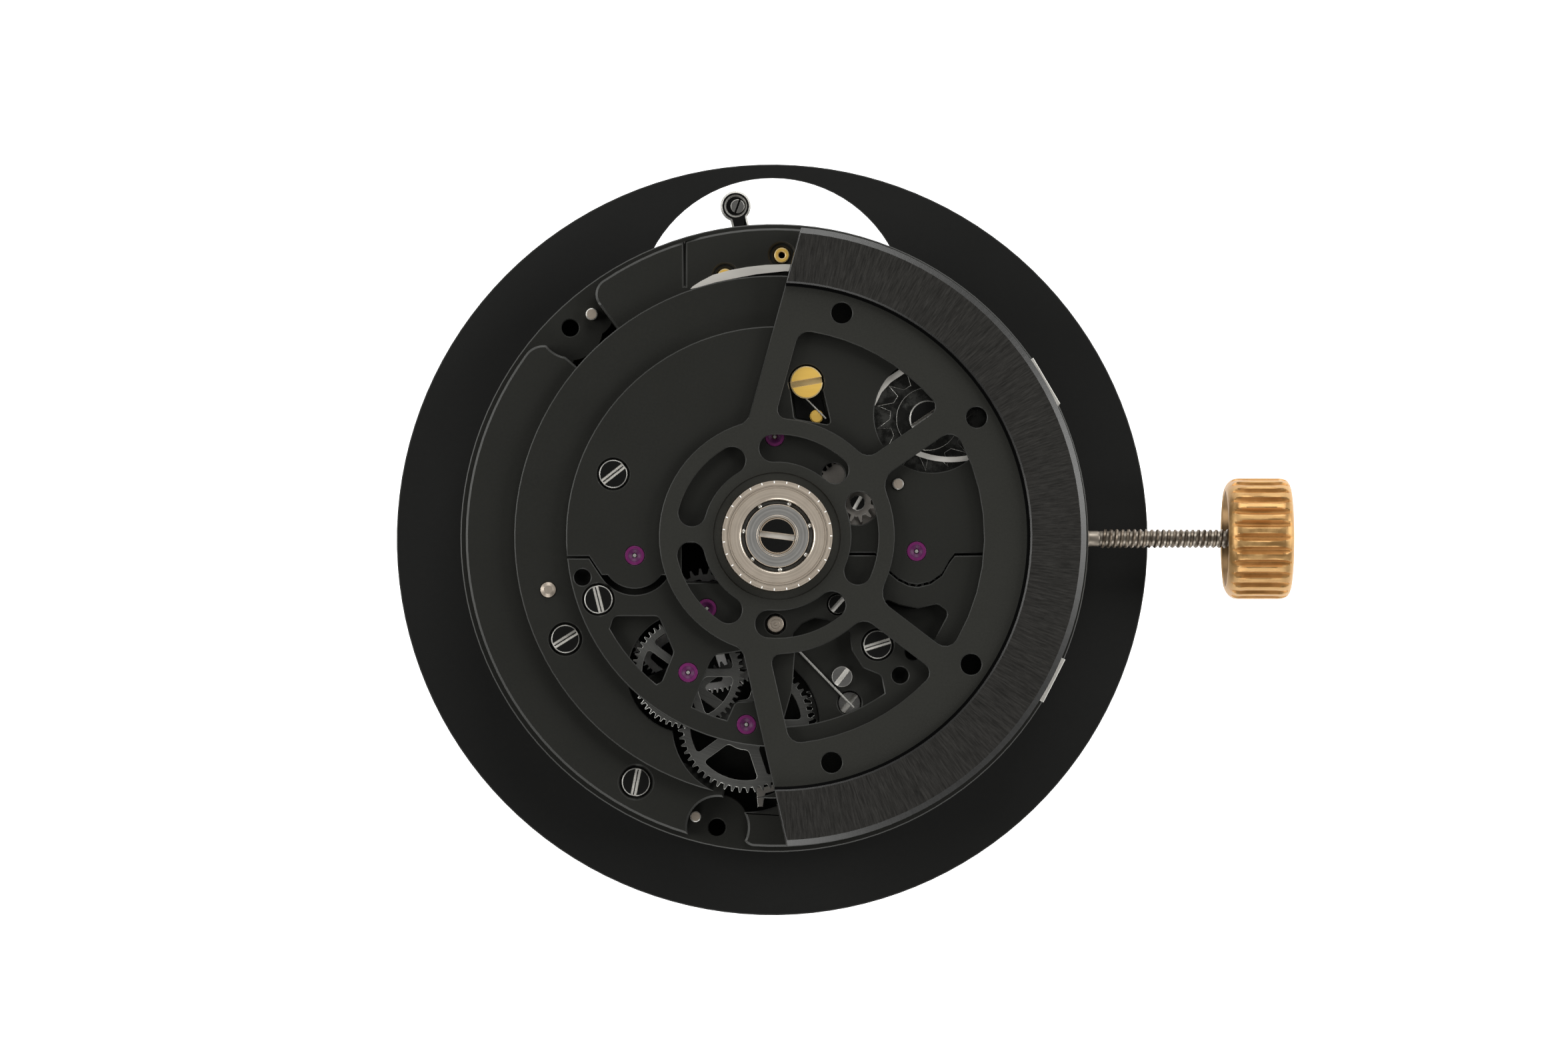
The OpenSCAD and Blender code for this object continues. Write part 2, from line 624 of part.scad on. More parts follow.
module pallet_bridge() color([0.30, 0.30, 0.28]) difference() {
  across = left(line_dir);
  union() {
    slab(2.52, 2.66) track([pallet_at - 1.9 * across, pallet_at + 1.9 * across], 0.7);
    for (s = [-1, 1]) rod_at(pallet_at + s * 1.9 * across, 0.42, floor_z1, 2.66);
  }
  rod_at(pallet_at, 0.12, 2, 3);
}

module wire_spring() color([0.75, 0.75, 0.73])
  translate([1.09, -5.44, ring_z + 0.07]) rotate([0, 90, aim([1.09, -5.44], [3.7, -8.13])])
    cylinder(r = 0.055, h = norm([3.7, -8.13] - [1.09, -5.44]));

// Springs of the minute jumper, below the rotor's upper arm, and of the reverser
module curved_spring() color([0.75, 0.75, 0.73]) {
  slab(low_z, low_z + 0.2) polygon(concat([for (p = spring_back) pol(p[0], p[1])],
    [for (p = spring_belly) pol(p[0], p[1])]));
  slab(5.14, 5.22) {
    at([8.3, 8.0]) intersection() {
      ring(4.2, 4.45);
      wedge(-114, -75.5);
    }
    track([[4.6, 6.35], [4.9, 6.95], [5.35, 7.45], [6.1, 7.95]], 0.28);
  }
}

module rotor_post() color([0.62, 0.64, 0.68]) difference() {
  union() {
    rod(1.0, ring_z, 5.95);
    rod(1.51, 5.88, 6.5);
  }
  rod(0.89, 6.2, 7);
  rod(0.4, 5.2, 7);
  rotate_extrude() polygon([[1.4, 6.52], [1.53, 6.52], [1.53, 6.4]]);
}

module rotor_screw() color([0.08, 0.08, 0.08]) {
  screw_head(0.875, 6.48, 0.27, -7, 0.28);
  rod(0.38, 5.25, 6.3);
}

// Rotor

module rotor_fan() rotate(rotor_turn) {
  // the area between the outer edges of the two end arms
  u = arm_out * pol(1, arm_dir + 90);
  l = arm_out * pol(1, -arm_dir - 90);
  polygon([u, u + 17 * pol(1, arm_dir), [17, 17], [22, 0], [17, -17],
    l + 17 * pol(1, -arm_dir), l]);
}
module arm_root(s) {
  // filleted corner between an end arm and the hub
  f = 1.0;
  sink = 0.03;
  a = arm_dir + asin((arm_out + f - sink) / (hub_r + f - sink));
  c = pol(hub_r + f - sink, a);
  d = c - f * pol(1, arm_dir + 90);
  mirror([0, s, 0]) difference() {
    polygon([pol(hub_r - 0.3, a - 30), pol(hub_r - 0.3, a), c, d - 0.1 * pol(1, arm_dir + 90)]);
    dot(c, f);
  }
}

module rotor_weight() color([0.20, 0.19, 0.20]) intersection() {
  rotate_extrude() polygon([[lap_r, weight_z0], [weight_r - 0.15, weight_z0],
    [weight_r, weight_z0 + 0.15], [weight_r, weight_z1 - 0.2], [weight_r - 0.27, weight_z1],
    [weight_inner_r + 0.08, weight_z1], [weight_inner_r, weight_z1 - 0.08],
    [weight_inner_r, frame_z1], [lap_r, frame_z1]]);
  slab(4, 7) rotor_fan();
}

module rotor_frame() color([0.17, 0.17, 0.16]) difference() {
  slab(frame_z0, frame_z1) rotate(rotor_turn) difference() {
    union() {
      circle(r = hub_r);
      intersection() {
        circle(r = lap_r - 0.05);
        rotate(-rotor_turn) rotor_fan();
      }
      arm_root(0);
      arm_root(1);
    }
    polygon(opening(hub_r, rim_inner_r, -spoke_dir, spoke_w / 2, spoke_dir, -spoke_w / 2, 0.7));
    polygon(opening(hub_r, rim_inner_r, spoke_dir, spoke_w / 2, arm_dir, arm_in, 0.55));
    mirror([0, 1]) polygon(opening(hub_r, rim_inner_r, spoke_dir, spoke_w / 2, arm_dir, arm_in,
      0.55));
    // curved slots of the hub
    for (k = [0:4]) rotate(72 * k) {
      sector(3.54, 4.83, -22, 22);
      for (s = [-1, 1]) dot(pol(4.185, s * 22), 0.645);
    }
    circle(r = bearing_r);
    for (s = [-1, 1]) {
      dot(pol(11.05, s * 75.1), 0.5);
      dot(pol(11.05, s * 32.1), 0.5);
    }
  }
  // shallow step round the bearing
  rod(3.0, frame_z1 - 0.05, 7);
}

module bearing_outer_ring() color([0.50, 0.48, 0.44]) difference() {
  union() {
    rod(bearing_r, frame_z0, bearing_z);
    rod(1.6, 5.1, frame_z0 + 0.05);
    slab(4.95, 5.2) gear(rotor_teeth, m_rotor, aim([0, 0], transfer_at));
  }
  rod(1.12, 4, 5.82);
  rod(1.72, 5.8, 7);
  // turned grooves on the top face
  for (r = [1.95, 2.3]) slab(bearing_z - 0.04, 7) ring(r, r + 0.06);
}

module bearing_cage() color([0.55, 0.50, 0.40]) difference() {
  slab(5.95, 6.25) ring(1.555, 1.675);
  for (k = [0:6]) rod_at(pol(1.615, 120.6 + 360 / 7 * k), 0.11, 6.1, 7);
}

module bearing_balls() color([0.85, 0.85, 0.85])
  for (k = [0:6]) at(pol(1.615, 120.6 + 360 / 7 * k), 6.21) sphere(r = 0.095, $fn = 24);

// Automatic winding

module transfer_wheel() color([0.62, 0.62, 0.60]) at(transfer_at) difference() {
  union() {
    slab(5.0, 5.1) gear(transfer_teeth, m_rotor, transfer_turn);
    slab(4.89, 5.0) gear(transfer_lower_teeth, m_reduction, aim(transfer_at, reduction_at));
    slab(5.1, 5.28) gear(11, 0.15, 20);
  }
  rod(0.12 + run, 4, 6);
}

module reverser_wheel() color([0.45, 0.45, 0.44]) at(reverser_at) difference() {
  union() {
    slab(5.0, 5.08) gear(reverser_teeth, m_reverser, mate_turn(aim(transfer_at, reverser_at),
      transfer_teeth, transfer_turn, reverser_teeth));
    // saw-toothed wheel and the cap over it
    slab(5.08, 5.12) polygon([for (i = [0:13]) each [pol(1.8, 360 / 14 * i),
      pol(2.5, 360 / 14 * i + 11), pol(1.8, 360 / 14 * i + 14)]]);
    rod(1.5, 5.12, 5.34);
  }
  rod(0.22 + run, 4, 6);
}

module reduction_wheel() color([0.45, 0.45, 0.44]) at(reduction_at) {
  slab(4.89, 4.99) gear(reduction_teeth, m_reduction,
    aim(reduction_at, transfer_at) + 180 / reduction_teeth);
  rod(0.25, 3.35, 5.02);
  rod(0.09, 5.0, 5.4);
  slab(3.38, 3.62) gear(reduction_leaves, m_winding * 0.97, mate_turn(aim(winding_at, reduction_at),
    winding_teeth, winding_turn, reduction_leaves));
}

module crown_wheel() color([0.60, 0.60, 0.58]) at(crown_wheel_at) difference() {
  slab(winding_z0, winding_z1) gear(crown_wheel_teeth, m_winding,
    mate_turn(aim(winding_at, crown_wheel_at), winding_teeth, winding_turn, crown_wheel_teeth));
  rod(0.26 + run, 3, 4);
}
module winding_wheel() color([0.60, 0.60, 0.58]) at(winding_at) difference() {
  slab(winding_z0, winding_z1) gear(winding_teeth, m_winding, winding_turn);
  rod(0.26 + run, 3, 4);
}
module ratchet_wheel() color([0.60, 0.60, 0.58]) at(barrel_at) {
  slab(winding_z0, winding_z1) gear(ratchet_teeth, m_winding,
    aim(barrel_at, winding_at));
  // arbor of the barrel, squared into the wheel
  rod(0.45, 3.1, 4.1);
  rod(0.9, 2.36, 2.9);
  rod(0.45, 1.5, 3.2);
}
module click() color([0.60, 0.60, 0.58]) at(click_at) {
  slab(winding_z0, winding_z1) {
    dot([0, 0], 0.35);
    bar([0, 0], pol(0.95, 126), 0.35);
    track([for (p = click_tail) p - click_at], 0.3);
    // tail's end, seen below the second wheel
    polygon([for (p = [[-0.9, -11.9], [-0.82, -12.85], [-0.58, -12.85], [-0.42, -11.9]])
      p - click_at]);
  }
}

// Going train

module barrel() color([0.55, 0.50, 0.38]) at(barrel_at) {
  difference() {
    union() {
      rod(4.9, 2.12, 3.02);
      slab(2.15, 2.5) gear(barrel_teeth, m_barrel, 13.4 + 180);
    }
    rod(4.7, 2.3, 4);
    rod(0.45 + run, 2, 4);
  }
  // snap-in lid
  slab(3.02, 3.14) ring(0.45 + run, 4.9);
}
module mainspring() color([0.45, 0.47, 0.50]) at(barrel_at)
  slab(2.34, 2.98) spiral(1.1, 4.55, 9, 0.14, 16);

module second_wheel() color([0.30, 0.30, 0.30]) at(second_at) {
  slab(4.30, 4.48) spoked_gear(second_teeth, m_second, aim(second_at, third_at), 1.2, 0.35, 5, 0.5);
  slab(2.15, 2.65) gear(second_leaves, m_barrel, 13.4 + 180 / second_leaves);
  rod(0.28, 2.0, 4.9);
  rod(0.08, 1.6, 5.38);
}
module third_wheel() color([0.30, 0.30, 0.30]) at(third_at) {
  slab(4.58, 4.76) spoked_gear(third_teeth, m_third, aim(third_at, fourth_at), 0.8, 0.3, 5, 0.4);
  slab(4.26, 4.54) gear(third_leaves, m_second, aim(third_at, second_at) + 180 / third_leaves);
  rod(0.22, 3.9, 4.95);
  rod(0.08, 3.6, 5.38);
}
module fourth_wheel() color([0.55, 0.52, 0.42]) at(fourth_at) {
  slab(3.15, 3.33) spoked_gear(fourth_teeth, m_fourth, aim(fourth_at, escape_at), 1.0, 0.35, 5,
    0.45);
  slab(3.88, 4.05) spoked_gear(drive_teeth, m_drive, aim(fourth_at, coupling_at), 0.6, 0.25, 4,
    0.35);
  slab(4.54, 4.80) gear(fourth_leaves, m_third, aim(fourth_at, third_at) + 180 / fourth_leaves);
  rod(0.22, 2.0, 5.0);
  rod(0.08, 1.6, 5.38);
}
module escape_wheel() color([0.60, 0.60, 0.60]) at(escape_at) {
  slab(2.30, 2.45) difference() {
    polygon([for (i = [0:19]) each [pol(1.32, 18 * i + 4), pol(escape_r, 18 * i + 9),
      pol(1.36, 18 * i + 12)]]);
    for (k = [0:3]) polygon(opening(0.45, 1.15, 90 * k, 0.12, 90 * (k + 1), -0.12, 0.12));
  }
  slab(3.08, 3.40) gear(escape_leaves, m_fourth, aim(escape_at, fourth_at) + 180 / escape_leaves);
  rod(0.15, 2.0, 5.0);
  rod(0.08, 1.6, 5.38);
}
module pallet_fork() color([0.60, 0.60, 0.60]) {
  to_escape = aim(pallet_at, escape_at);
  slab(2.30, 2.45) difference() {
    union() {
      for (s = [-1, 1]) track([pallet_at, pallet_at + pol(1.05, to_escape + s * 75),
        escape_at + pol(escape_r + 0.12, to_escape + 180 + s * 32)], 0.24);
      track([pallet_at, balance_at - 0.42 * line_dir], 0.24);
      dot(balance_at - 0.5 * line_dir, 0.22);
    }
    bar(balance_at - 0.6 * line_dir, balance_at, 0.2);
    dot(balance_at, 0.24);
  }
  rod_at(pallet_at, 0.1, 1.95, 2.64);
}
module balance_wheel() color([0.72, 0.60, 0.30]) at(balance_at) {
  slab(2.75, 3.08) {
    ring(balance_r - 0.45, balance_r);
    for (k = [0:2]) bar([0, 0], pol(balance_r - 0.2, 30 + 120 * k), 0.45);
    circle(r = 0.6);
  }
  rod(0.5, 2.5, 2.62);
  rod(0.15, 2.0, 3.55);
  rod(0.08, 1.6, 4.7);
  rod_at(-0.38 * line_dir, 0.08, 2.28, 2.55);
}
module hairspring() color([0.35, 0.42, 0.60]) at(balance_at)
  slab(hairspring_z0, hairspring_z1) spiral(0.3, 2.0, 9, 0.05, 20);

// Chronograph

module coupling_lever() color([0.66, 0.66, 0.64]) difference() {
  slab(3.60, 3.78) track([fourth_at, coupling_at], 1.1);
  rod_at(fourth_at, 0.22 + run, 3, 5);
  rod_at(coupling_at, 0.12 + run, 3, 5);
}
module coupling_wheel() color([0.66, 0.62, 0.48]) at(coupling_at) {
  slab(3.88, 4.05) spoked_gear(coupling_teeth, m_drive, coupling_turn, 0.45, 0.25, 4, 0.3);
  rod(0.12, 3.6, 4.0);
  rod(0.15, 4.0, 5.3);
  rod(0.38, 5.3, 5.5);
}
// Heart cam whose radius grows evenly from angle 0 round to 180 degrees
module heart(r0, r1) polygon([for (i = [0:35]) let (a = 10 * i)
  pol(r0 + (r1 - r0) * (a > 180 ? 360 - a : a) / 180, a)]);
module chronograph_wheel() color([0.66, 0.62, 0.48]) {
  slab(3.88, 4.05) spoked_gear(chrono_teeth, m_chrono, chrono_turn, 0.6, 0.3, 5, 0.35);
  slab(3.5, 3.72) heart(0.3, 0.85);
  rod(0.3, 3.4, 4.3);
  rod(seconds_post_r, -1.0, -0.7);
  rod(arbor_r, -0.7, 3.5);
  rod(0.09, 4.2, 4.7);
}
module minute_counter_wheel() color([0.66, 0.62, 0.48]) at(counter_at) {
  slab(3.88, 4.05) spoked_gear(30, 0.1, 0, 0.5, 0.25, 4, 0.3);
  slab(3.5, 3.72) heart(0.3, 0.85);
  rod(0.2, 3.3, 5.15);
  rod(0.09, 5.1, 5.4);
}
module column_wheel() color([0.72, 0.72, 0.70]) at(column_at) difference() {
  union() {
    slab(3.75, 4.0) polygon([for (i = [0:11]) each [pol(1.05, 30 * i), pol(1.35, 30 * i + 4)]]);
    slab(3.25, 3.8) for (k = [0:5]) sector(0.6, 1.0, 60 * k, 60 * k + 30);
    rod(0.65, 3.25, 3.8);
  }
  rod(0.25 + run, 3, 5);
}
module operating_lever() color([0.80, 0.79, 0.74]) difference() {
  slab(lever_z0, lever_z1) intersection() {
    union() {
      sector(tab_r - 1.5, tab_r + 1, 26.1, 34.9);
      track([operating_at, start_pad, [12.2, 7.6], [10.5, 7.6]], 0.8);
      dot(operating_at, 0.75);
      bar(start_pad, start_pad + [0.4, 0.6], 1.6);
    }
    rotate(30.5) translate([0, -20]) square([tab_r, 40]);
  }
  rod_at(operating_at, 0.32 + run, 3, 5);
}
module reset_lever() color([0.80, 0.79, 0.74]) difference() {
  slab(lever_z0, lever_z1) intersection() {
    union() {
      sector(tab_r - 1.5, tab_r + 1, -31.6, -22.8);
      track([reset_at, reset_pad, [11.6, -3.5], [10.4, 0.9]], 0.8);
      dot(reset_at, 0.75);
      bar(reset_pad, reset_pad + [0.7, -0.3], 1.6);
    }
    rotate(-27.2) translate([0, -20]) square([tab_r, 40]);
  }
  rod_at(reset_at, 0.32 + run, 3, 5);
}
module hammer() color([0.75, 0.75, 0.73]) slab(3.5, 3.7) difference() {
  union() {
    track([[2.1, 0.55], [4.0, 1.6], [8.2, 2.4]], 0.9);
    track([[2.1, 4.75], [3.4, 3.4], [4.0, 1.6]], 0.8);
    translate([1.3, -0.35]) square([0.5, 1.2]);
    translate([1.3, 4.25]) square([0.5, 1.0]);
    bar([1.5, 0.5], [2.3, 0.6], 0.6);
    bar([1.5, 4.75], [2.2, 4.75], 0.6);
  }
  for (p = hammer_studs) track([p, p + [hammer_travel, 0]], 0.4 + 2 * run);
}

// Winding and setting works

module along(x) translate([x, 0, stem_z]) rotate([0, 90, 0]) children();
module stem() color([0.62, 0.62, 0.60]) {
  along(6.4) cylinder(r = 0.25, h = 1.1);
  along(7.4) cylinder(r = 0.32, h = 2.15);
  along(9.5) cylinder(r = 0.40, h = 1.7);
  along(11.1) cylinder(r = 0.25, h = 0.5);
  along(11.5) cylinder(r = 0.42, h = 3.3);
  along(14.7) cylinder(r = 0.47, h = 0.35);
  along(15.0) cylinder(r = 0.365, h = 0.6);
  along(15.55) cylinder(r = stem_r - 0.05, h = 0.1);
  along(15.6) cylinder(r = stem_r, h = crown_x + 1.2 - 15.6);
}
module crown() color([0.72, 0.55, 0.28]) along(crown_x) rotate(90) difference() {
  union() {
    translate([0, 0, 0.25]) cylinder(r = crown_r - 0.16, h = crown_len - 0.5);
    cylinder(r1 = crown_r - 0.45, r2 = crown_r - 0.16, h = 0.25);
    translate([0, 0, crown_len - 0.25]) cylinder(r1 = crown_r - 0.16, r2 = crown_r - 0.7, h = 0.25);
    for (k = [0:crown_flutes - 1]) rotate(360 / crown_flutes * k)
      translate([crown_r - 0.3, -0.19, 0.3]) cube([0.3, 0.38, crown_len - 0.65]);
  }
  translate([0, 0, -1]) cylinder(r = 1.9, h = 1.5);
  translate([0, 0, 0.4]) cylinder(r = stem_r, h = 0.8);
}
module winding_pinion() color([0.62, 0.62, 0.60]) along(9.62) rotate(90) difference() {
  linear_extrude(0.95) gear(16, 0.11);
  translate([0, 0, -1]) cylinder(r = 0.40 + run, h = 3);
}
module sliding_pinion() color([0.62, 0.62, 0.60]) along(8.15) rotate(90) difference() {
  union() {
    linear_extrude(0.35) gear(14, 0.12);
    cylinder(r = 0.55, h = 1.2);
    translate([0, 0, 0.85]) cylinder(r = 0.85, h = 0.5);
  }
  translate([0, 0, -1]) cylinder(r = 0.32 + run, h = 3);
}
module setting_lever() color([0.66, 0.66, 0.64]) {
  slab(0.95, 1.25) track([setting_lever_at, [11.35, 0.35]], 0.5);
  rod_at([11.35, 0.35], 0.17, 1.2, 2.08);
  rod_at(setting_lever_at, 0.4, 0.95, 1.38);
}
module yoke() color([0.66, 0.66, 0.64]) {
  slab(0.95, 1.25) {
    track([yoke_at, [8.75, -0.95]], 0.5);
    dot(yoke_at, 0.4);
  }
  rod_at([8.75, -0.72], 0.14, 1.2, 2.3);
}
module setting_wheel() color([0.62, 0.62, 0.60]) at(setting_at) difference() {
  slab(0.85, 1.15) gear(setting_teeth, m_minute, 180 + 180 / setting_teeth);
  rod(0.2 + run, 0, 3);
}

module minute_wheel() color([0.66, 0.62, 0.48]) at(minute_wheel_at) difference() {
  union() {
    slab(0.88, 1.12) gear(minute_teeth, m_minute, 0);
    slab(0.48, 0.9) gear(minute_leaves, m_hour, 180);
  }
  rod(0.25 + run, 0, 3);
}
module cannon_pinion() color([0.62, 0.62, 0.60]) difference() {
  union() {
    slab(0.86, 1.16) gear(cannon_teeth, m_minute, 180 / cannon_teeth);
    rod(minute_tube_r, -0.4, 0.9);
    rod(minute_pipe_r, -0.7, -0.35);
  }
  rod(tube_r + run, -0.05, 3);
  rod(arbor_r + run / 2, -2, 1);
}
module hour_wheel() color([0.66, 0.62, 0.48]) difference() {
  union() {
    slab(0.52, 0.74) gear(hour_teeth, m_hour, 180 / hour_teeth);
    rod(hour_tube_r, 0, 0.6);
    rod(hour_pipe_r, -0.4, 0.1);
  }
  rod(minute_tube_r + run, -2, 3);
}
module corrector_lever() color([0.80, 0.80, 0.78]) difference() {
  slab(0.5, 0.95) {
    dot([-1.8, 16.0], 0.73);
    track([[-1.8, 16.0], [-1.45, 14.6], corrector_at], 0.8);
  }
  rod_at(corrector_at, 0.2 + run, 0, 3);
  rod_at([-1.8, 16.0], 0.45, 0.8, 2);
}

main_plate();
dial();
low_bridge_left();
low_bridge_top();
barrel_bridge();
ring_bridge();
automatic_bridge();
train_bridge();
bridge_screws();
gold_screw();
small_screws();
jewels();
gold_bushings();
locating_pins();
balance_cock();
pallet_bridge();
wire_spring();
curved_spring();
rotor_post();
rotor_screw();
rotor_weight();
rotor_frame();
bearing_outer_ring();
bearing_cage();
bearing_balls();
transfer_wheel();
reverser_wheel();
reduction_wheel();
crown_wheel();
winding_wheel();
ratchet_wheel();
click();
barrel();
mainspring();
second_wheel();
third_wheel();
fourth_wheel();
escape_wheel();
pallet_fork();
balance_wheel();
hairspring();
coupling_lever();
coupling_wheel();
chronograph_wheel();
minute_counter_wheel();
column_wheel();
operating_lever();
reset_lever();
hammer();
stem();
crown();
winding_pinion();
sliding_pinion();
setting_lever();
yoke();
setting_wheel();
minute_wheel();
cannon_pinion();
hour_wheel();
corrector_lever();
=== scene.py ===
"""Finishes and fine pieces of an automatic chronograph movement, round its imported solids."""

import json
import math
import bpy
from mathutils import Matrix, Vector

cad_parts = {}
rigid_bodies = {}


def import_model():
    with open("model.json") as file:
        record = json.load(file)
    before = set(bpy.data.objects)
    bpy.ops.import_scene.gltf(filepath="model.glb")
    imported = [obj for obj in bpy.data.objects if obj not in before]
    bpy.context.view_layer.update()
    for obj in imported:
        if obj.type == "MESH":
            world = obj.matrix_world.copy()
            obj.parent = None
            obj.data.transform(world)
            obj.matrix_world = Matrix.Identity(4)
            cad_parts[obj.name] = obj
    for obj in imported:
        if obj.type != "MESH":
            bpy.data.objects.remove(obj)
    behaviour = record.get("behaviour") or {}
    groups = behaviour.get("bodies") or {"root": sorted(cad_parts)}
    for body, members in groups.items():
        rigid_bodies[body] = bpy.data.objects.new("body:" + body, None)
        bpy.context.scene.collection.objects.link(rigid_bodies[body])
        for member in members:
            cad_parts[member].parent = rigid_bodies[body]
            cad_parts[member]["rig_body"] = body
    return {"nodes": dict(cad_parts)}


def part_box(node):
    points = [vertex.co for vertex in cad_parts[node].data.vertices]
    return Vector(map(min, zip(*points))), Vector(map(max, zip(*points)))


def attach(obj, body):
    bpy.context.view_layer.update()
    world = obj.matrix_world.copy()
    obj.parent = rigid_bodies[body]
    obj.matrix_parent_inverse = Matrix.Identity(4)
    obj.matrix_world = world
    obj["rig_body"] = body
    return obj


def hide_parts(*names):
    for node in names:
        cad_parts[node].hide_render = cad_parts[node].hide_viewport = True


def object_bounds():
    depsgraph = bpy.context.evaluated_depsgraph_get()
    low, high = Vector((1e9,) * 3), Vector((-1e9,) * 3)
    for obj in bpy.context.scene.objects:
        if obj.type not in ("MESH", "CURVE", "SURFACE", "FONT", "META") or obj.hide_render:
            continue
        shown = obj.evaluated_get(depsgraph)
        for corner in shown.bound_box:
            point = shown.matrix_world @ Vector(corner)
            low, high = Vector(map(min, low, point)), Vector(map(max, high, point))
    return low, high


bl_info = {
    "name": "Chronograph Movement Finishes",
    "version": (1, 0, 0),
    "blender": (4, 5, 0),
    "location": "View3D > Sidebar > Movement",
    "description": "Dresses an automatic chronograph movement with plated, brushed and polished parts",
    "category": "Object",
}

import bmesh
import bpy
from mathutils import Matrix, Vector

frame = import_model()
CAD_BOX = [list(corner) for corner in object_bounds()]
NODES = frame["nodes"]
MM = 0.001

# Photograph: its frame in pixels, its scale at the rotor's top face and the rotor's centre in it
PHOTO_SIZE = Vector((2352, 1568))
MM_PER_PIXEL = 0.0316
ROTOR_CENTRE_PIXEL = Vector((1166, 804))
# The line of sight leans to the left and down by these slopes
SIGHT_SLOPE = Vector((-0.0372, -0.0295))
CAMERA_DISTANCE = 450 * MM
FOCUS_HEIGHT = 6.5 * MM

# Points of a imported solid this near, in metres, are joined, and faces this level are merged
SAME_POINT = 1e-7
SAME_PLANE = math.radians(0.4)
# Neighbouring flutes of the crown are welded within this distance, in metres
WELD_WITHIN = 2e-6
# Least rise of the normal of a top whose edges are broken, and of a face shaded flat
FLAT_TOP = 0.99
LEVEL = 0.9999

# The stem's axis over the dial and its thread, in mm
STEM_HEIGHT = 2.35
THREAD_START = 15.66
THREAD_LENGTH = 6.2
THREAD_RADIUS = 0.365
THREAD_RIDGE = 0.095
THREAD_RIDGE_SIDES = 6
THREAD_STEPS = 28

# Lights and floor, in metres
LAMP_DISTANCE = 0.42
LAMP_SIZE = 0.26
FLOOR_HALF = 0.6
FLOOR_GAP = 2 * MM
FLOOR_GREY = 0.9
# How bright the parts see the surroundings, which the camera sees as white
SURROUNDINGS = 0.08


# Meshes


def from_node(name):
    """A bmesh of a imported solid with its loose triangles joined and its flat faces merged."""
    bm = bmesh.new()
    bm.from_mesh(NODES[name].data)
    bmesh.ops.remove_doubles(bm, verts=bm.verts, dist=SAME_POINT)
    bmesh.ops.dissolve_limit(bm, angle_limit=SAME_PLANE, verts=bm.verts, edges=bm.edges)
    return bm


def top_edges(bm, steepest=0.3):
    """Outer edges where a flat top meets a wall, whose normal rises less than steepest."""
    found = []
    for edge in bm.edges:
        if len(edge.link_faces) != 2 or not edge.is_convex:
            continue
        lower, upper = sorted(face.normal.z for face in edge.link_faces)
        if upper > FLAT_TOP and abs(lower) < steepest:
            found.append(edge)
    return found


def break_edges(bm, edges, width):
    """Cuts a small chamfer along edges and gives it the piece's second material."""
    bmesh.ops.bevel(
        bm, geom=edges, offset=width, offset_type="OFFSET", segments=1, profile=0.5,
        affect="EDGES", clamp_overlap=False, material=1,
    )


def finished(name, bm, materials, body, replaced=(), sharp=30):
    """A named piece made of a bmesh, riding on its body."""
    mesh = bpy.data.meshes.new(name)
    bm.to_mesh(mesh)
    bm.free()
    for material in materials:
        mesh.materials.append(material)
    mesh.shade_smooth()
    mesh.set_sharp_from_angle(angle=math.radians(sharp))
    for face in mesh.polygons:
        # a level face takes no shading from its neighbours
        if abs(face.normal.z) > LEVEL:
            face.use_smooth = False
    piece = bpy.data.objects.new(name, mesh)
    bpy.context.scene.collection.objects.link(piece)
    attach(piece, body)
    if replaced:
        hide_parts(*replaced)
    return piece


def dressed_copy(name, width, materials, shiny_above=None):
    """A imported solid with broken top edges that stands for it, shiny above a height in mm."""
    bm = from_node(name)
    break_edges(bm, top_edges(bm), width)
    if shiny_above:
        for face in bm.faces:
            if face.calc_center_median().z > shiny_above * MM:
                face.material_index = 2
    body = NODES[name]["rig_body"]
    return finished("fine_" + name, bm, materials, body, (name,))


def paint(name, material):
    """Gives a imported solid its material."""
    NODES[name].data.materials.clear()
    NODES[name].data.materials.append(material)


def lathe(bm, profile, steps, centre=(0, 0), axis="Z", material=0, closed=False):
    """Turns a profile of (radius, height) points, in mm, round an axis through centre."""
    profile = [(radius * MM, height * MM) for radius, height in profile]
    centre = (centre[0] * MM, centre[1] * MM)
    rings = []
    for radius, height in profile:
        ring = []
        for k in range(steps):
            turn = 2 * math.pi * k / steps
            a, b = radius * math.cos(turn), radius * math.sin(turn)
            if axis == "Z":
                place = (centre[0] + a, centre[1] + b, height)
            else:
                place = (height, centre[0] + a, centre[1] + b)
            ring.append(bm.verts.new(place))
        rings.append(ring)
    pairs = list(zip(rings, rings[1:])) + ([(rings[-1], rings[0])] if closed else [])
    faces = []
    for low, high in pairs:
        for k in range(steps):
            n = (k + 1) % steps
            faces.append(bm.faces.new((low[k], low[n], high[n], high[k])))
    if not closed:
        faces.append(bm.faces.new(list(reversed(rings[0]))))
        faces.append(bm.faces.new(rings[-1]))
    for face in faces:
        face.material_index = material
    return faces


def band(bm, outline, low, high):
    """A closed prism over an outline of points in mm, which runs anticlockwise."""
    under = [bm.verts.new((x * MM, y * MM, low * MM)) for x, y in outline]
    over = [bm.verts.new((x * MM, y * MM, high * MM)) for x, y in outline]
    count = len(outline)
    for k in range(count):
        n = (k + 1) % count
        bm.faces.new((under[k], under[n], over[n], over[k]))
    bm.faces.new(list(reversed(under)))
    bm.faces.new(over)


# Nodes


def feed(tree, socket, value):
    """Links an output to a node's input, or sets the input to a plain value."""
    if isinstance(value, bpy.types.NodeSocket):
        tree.links.new(value, socket)
    else:
        socket.default_value = value


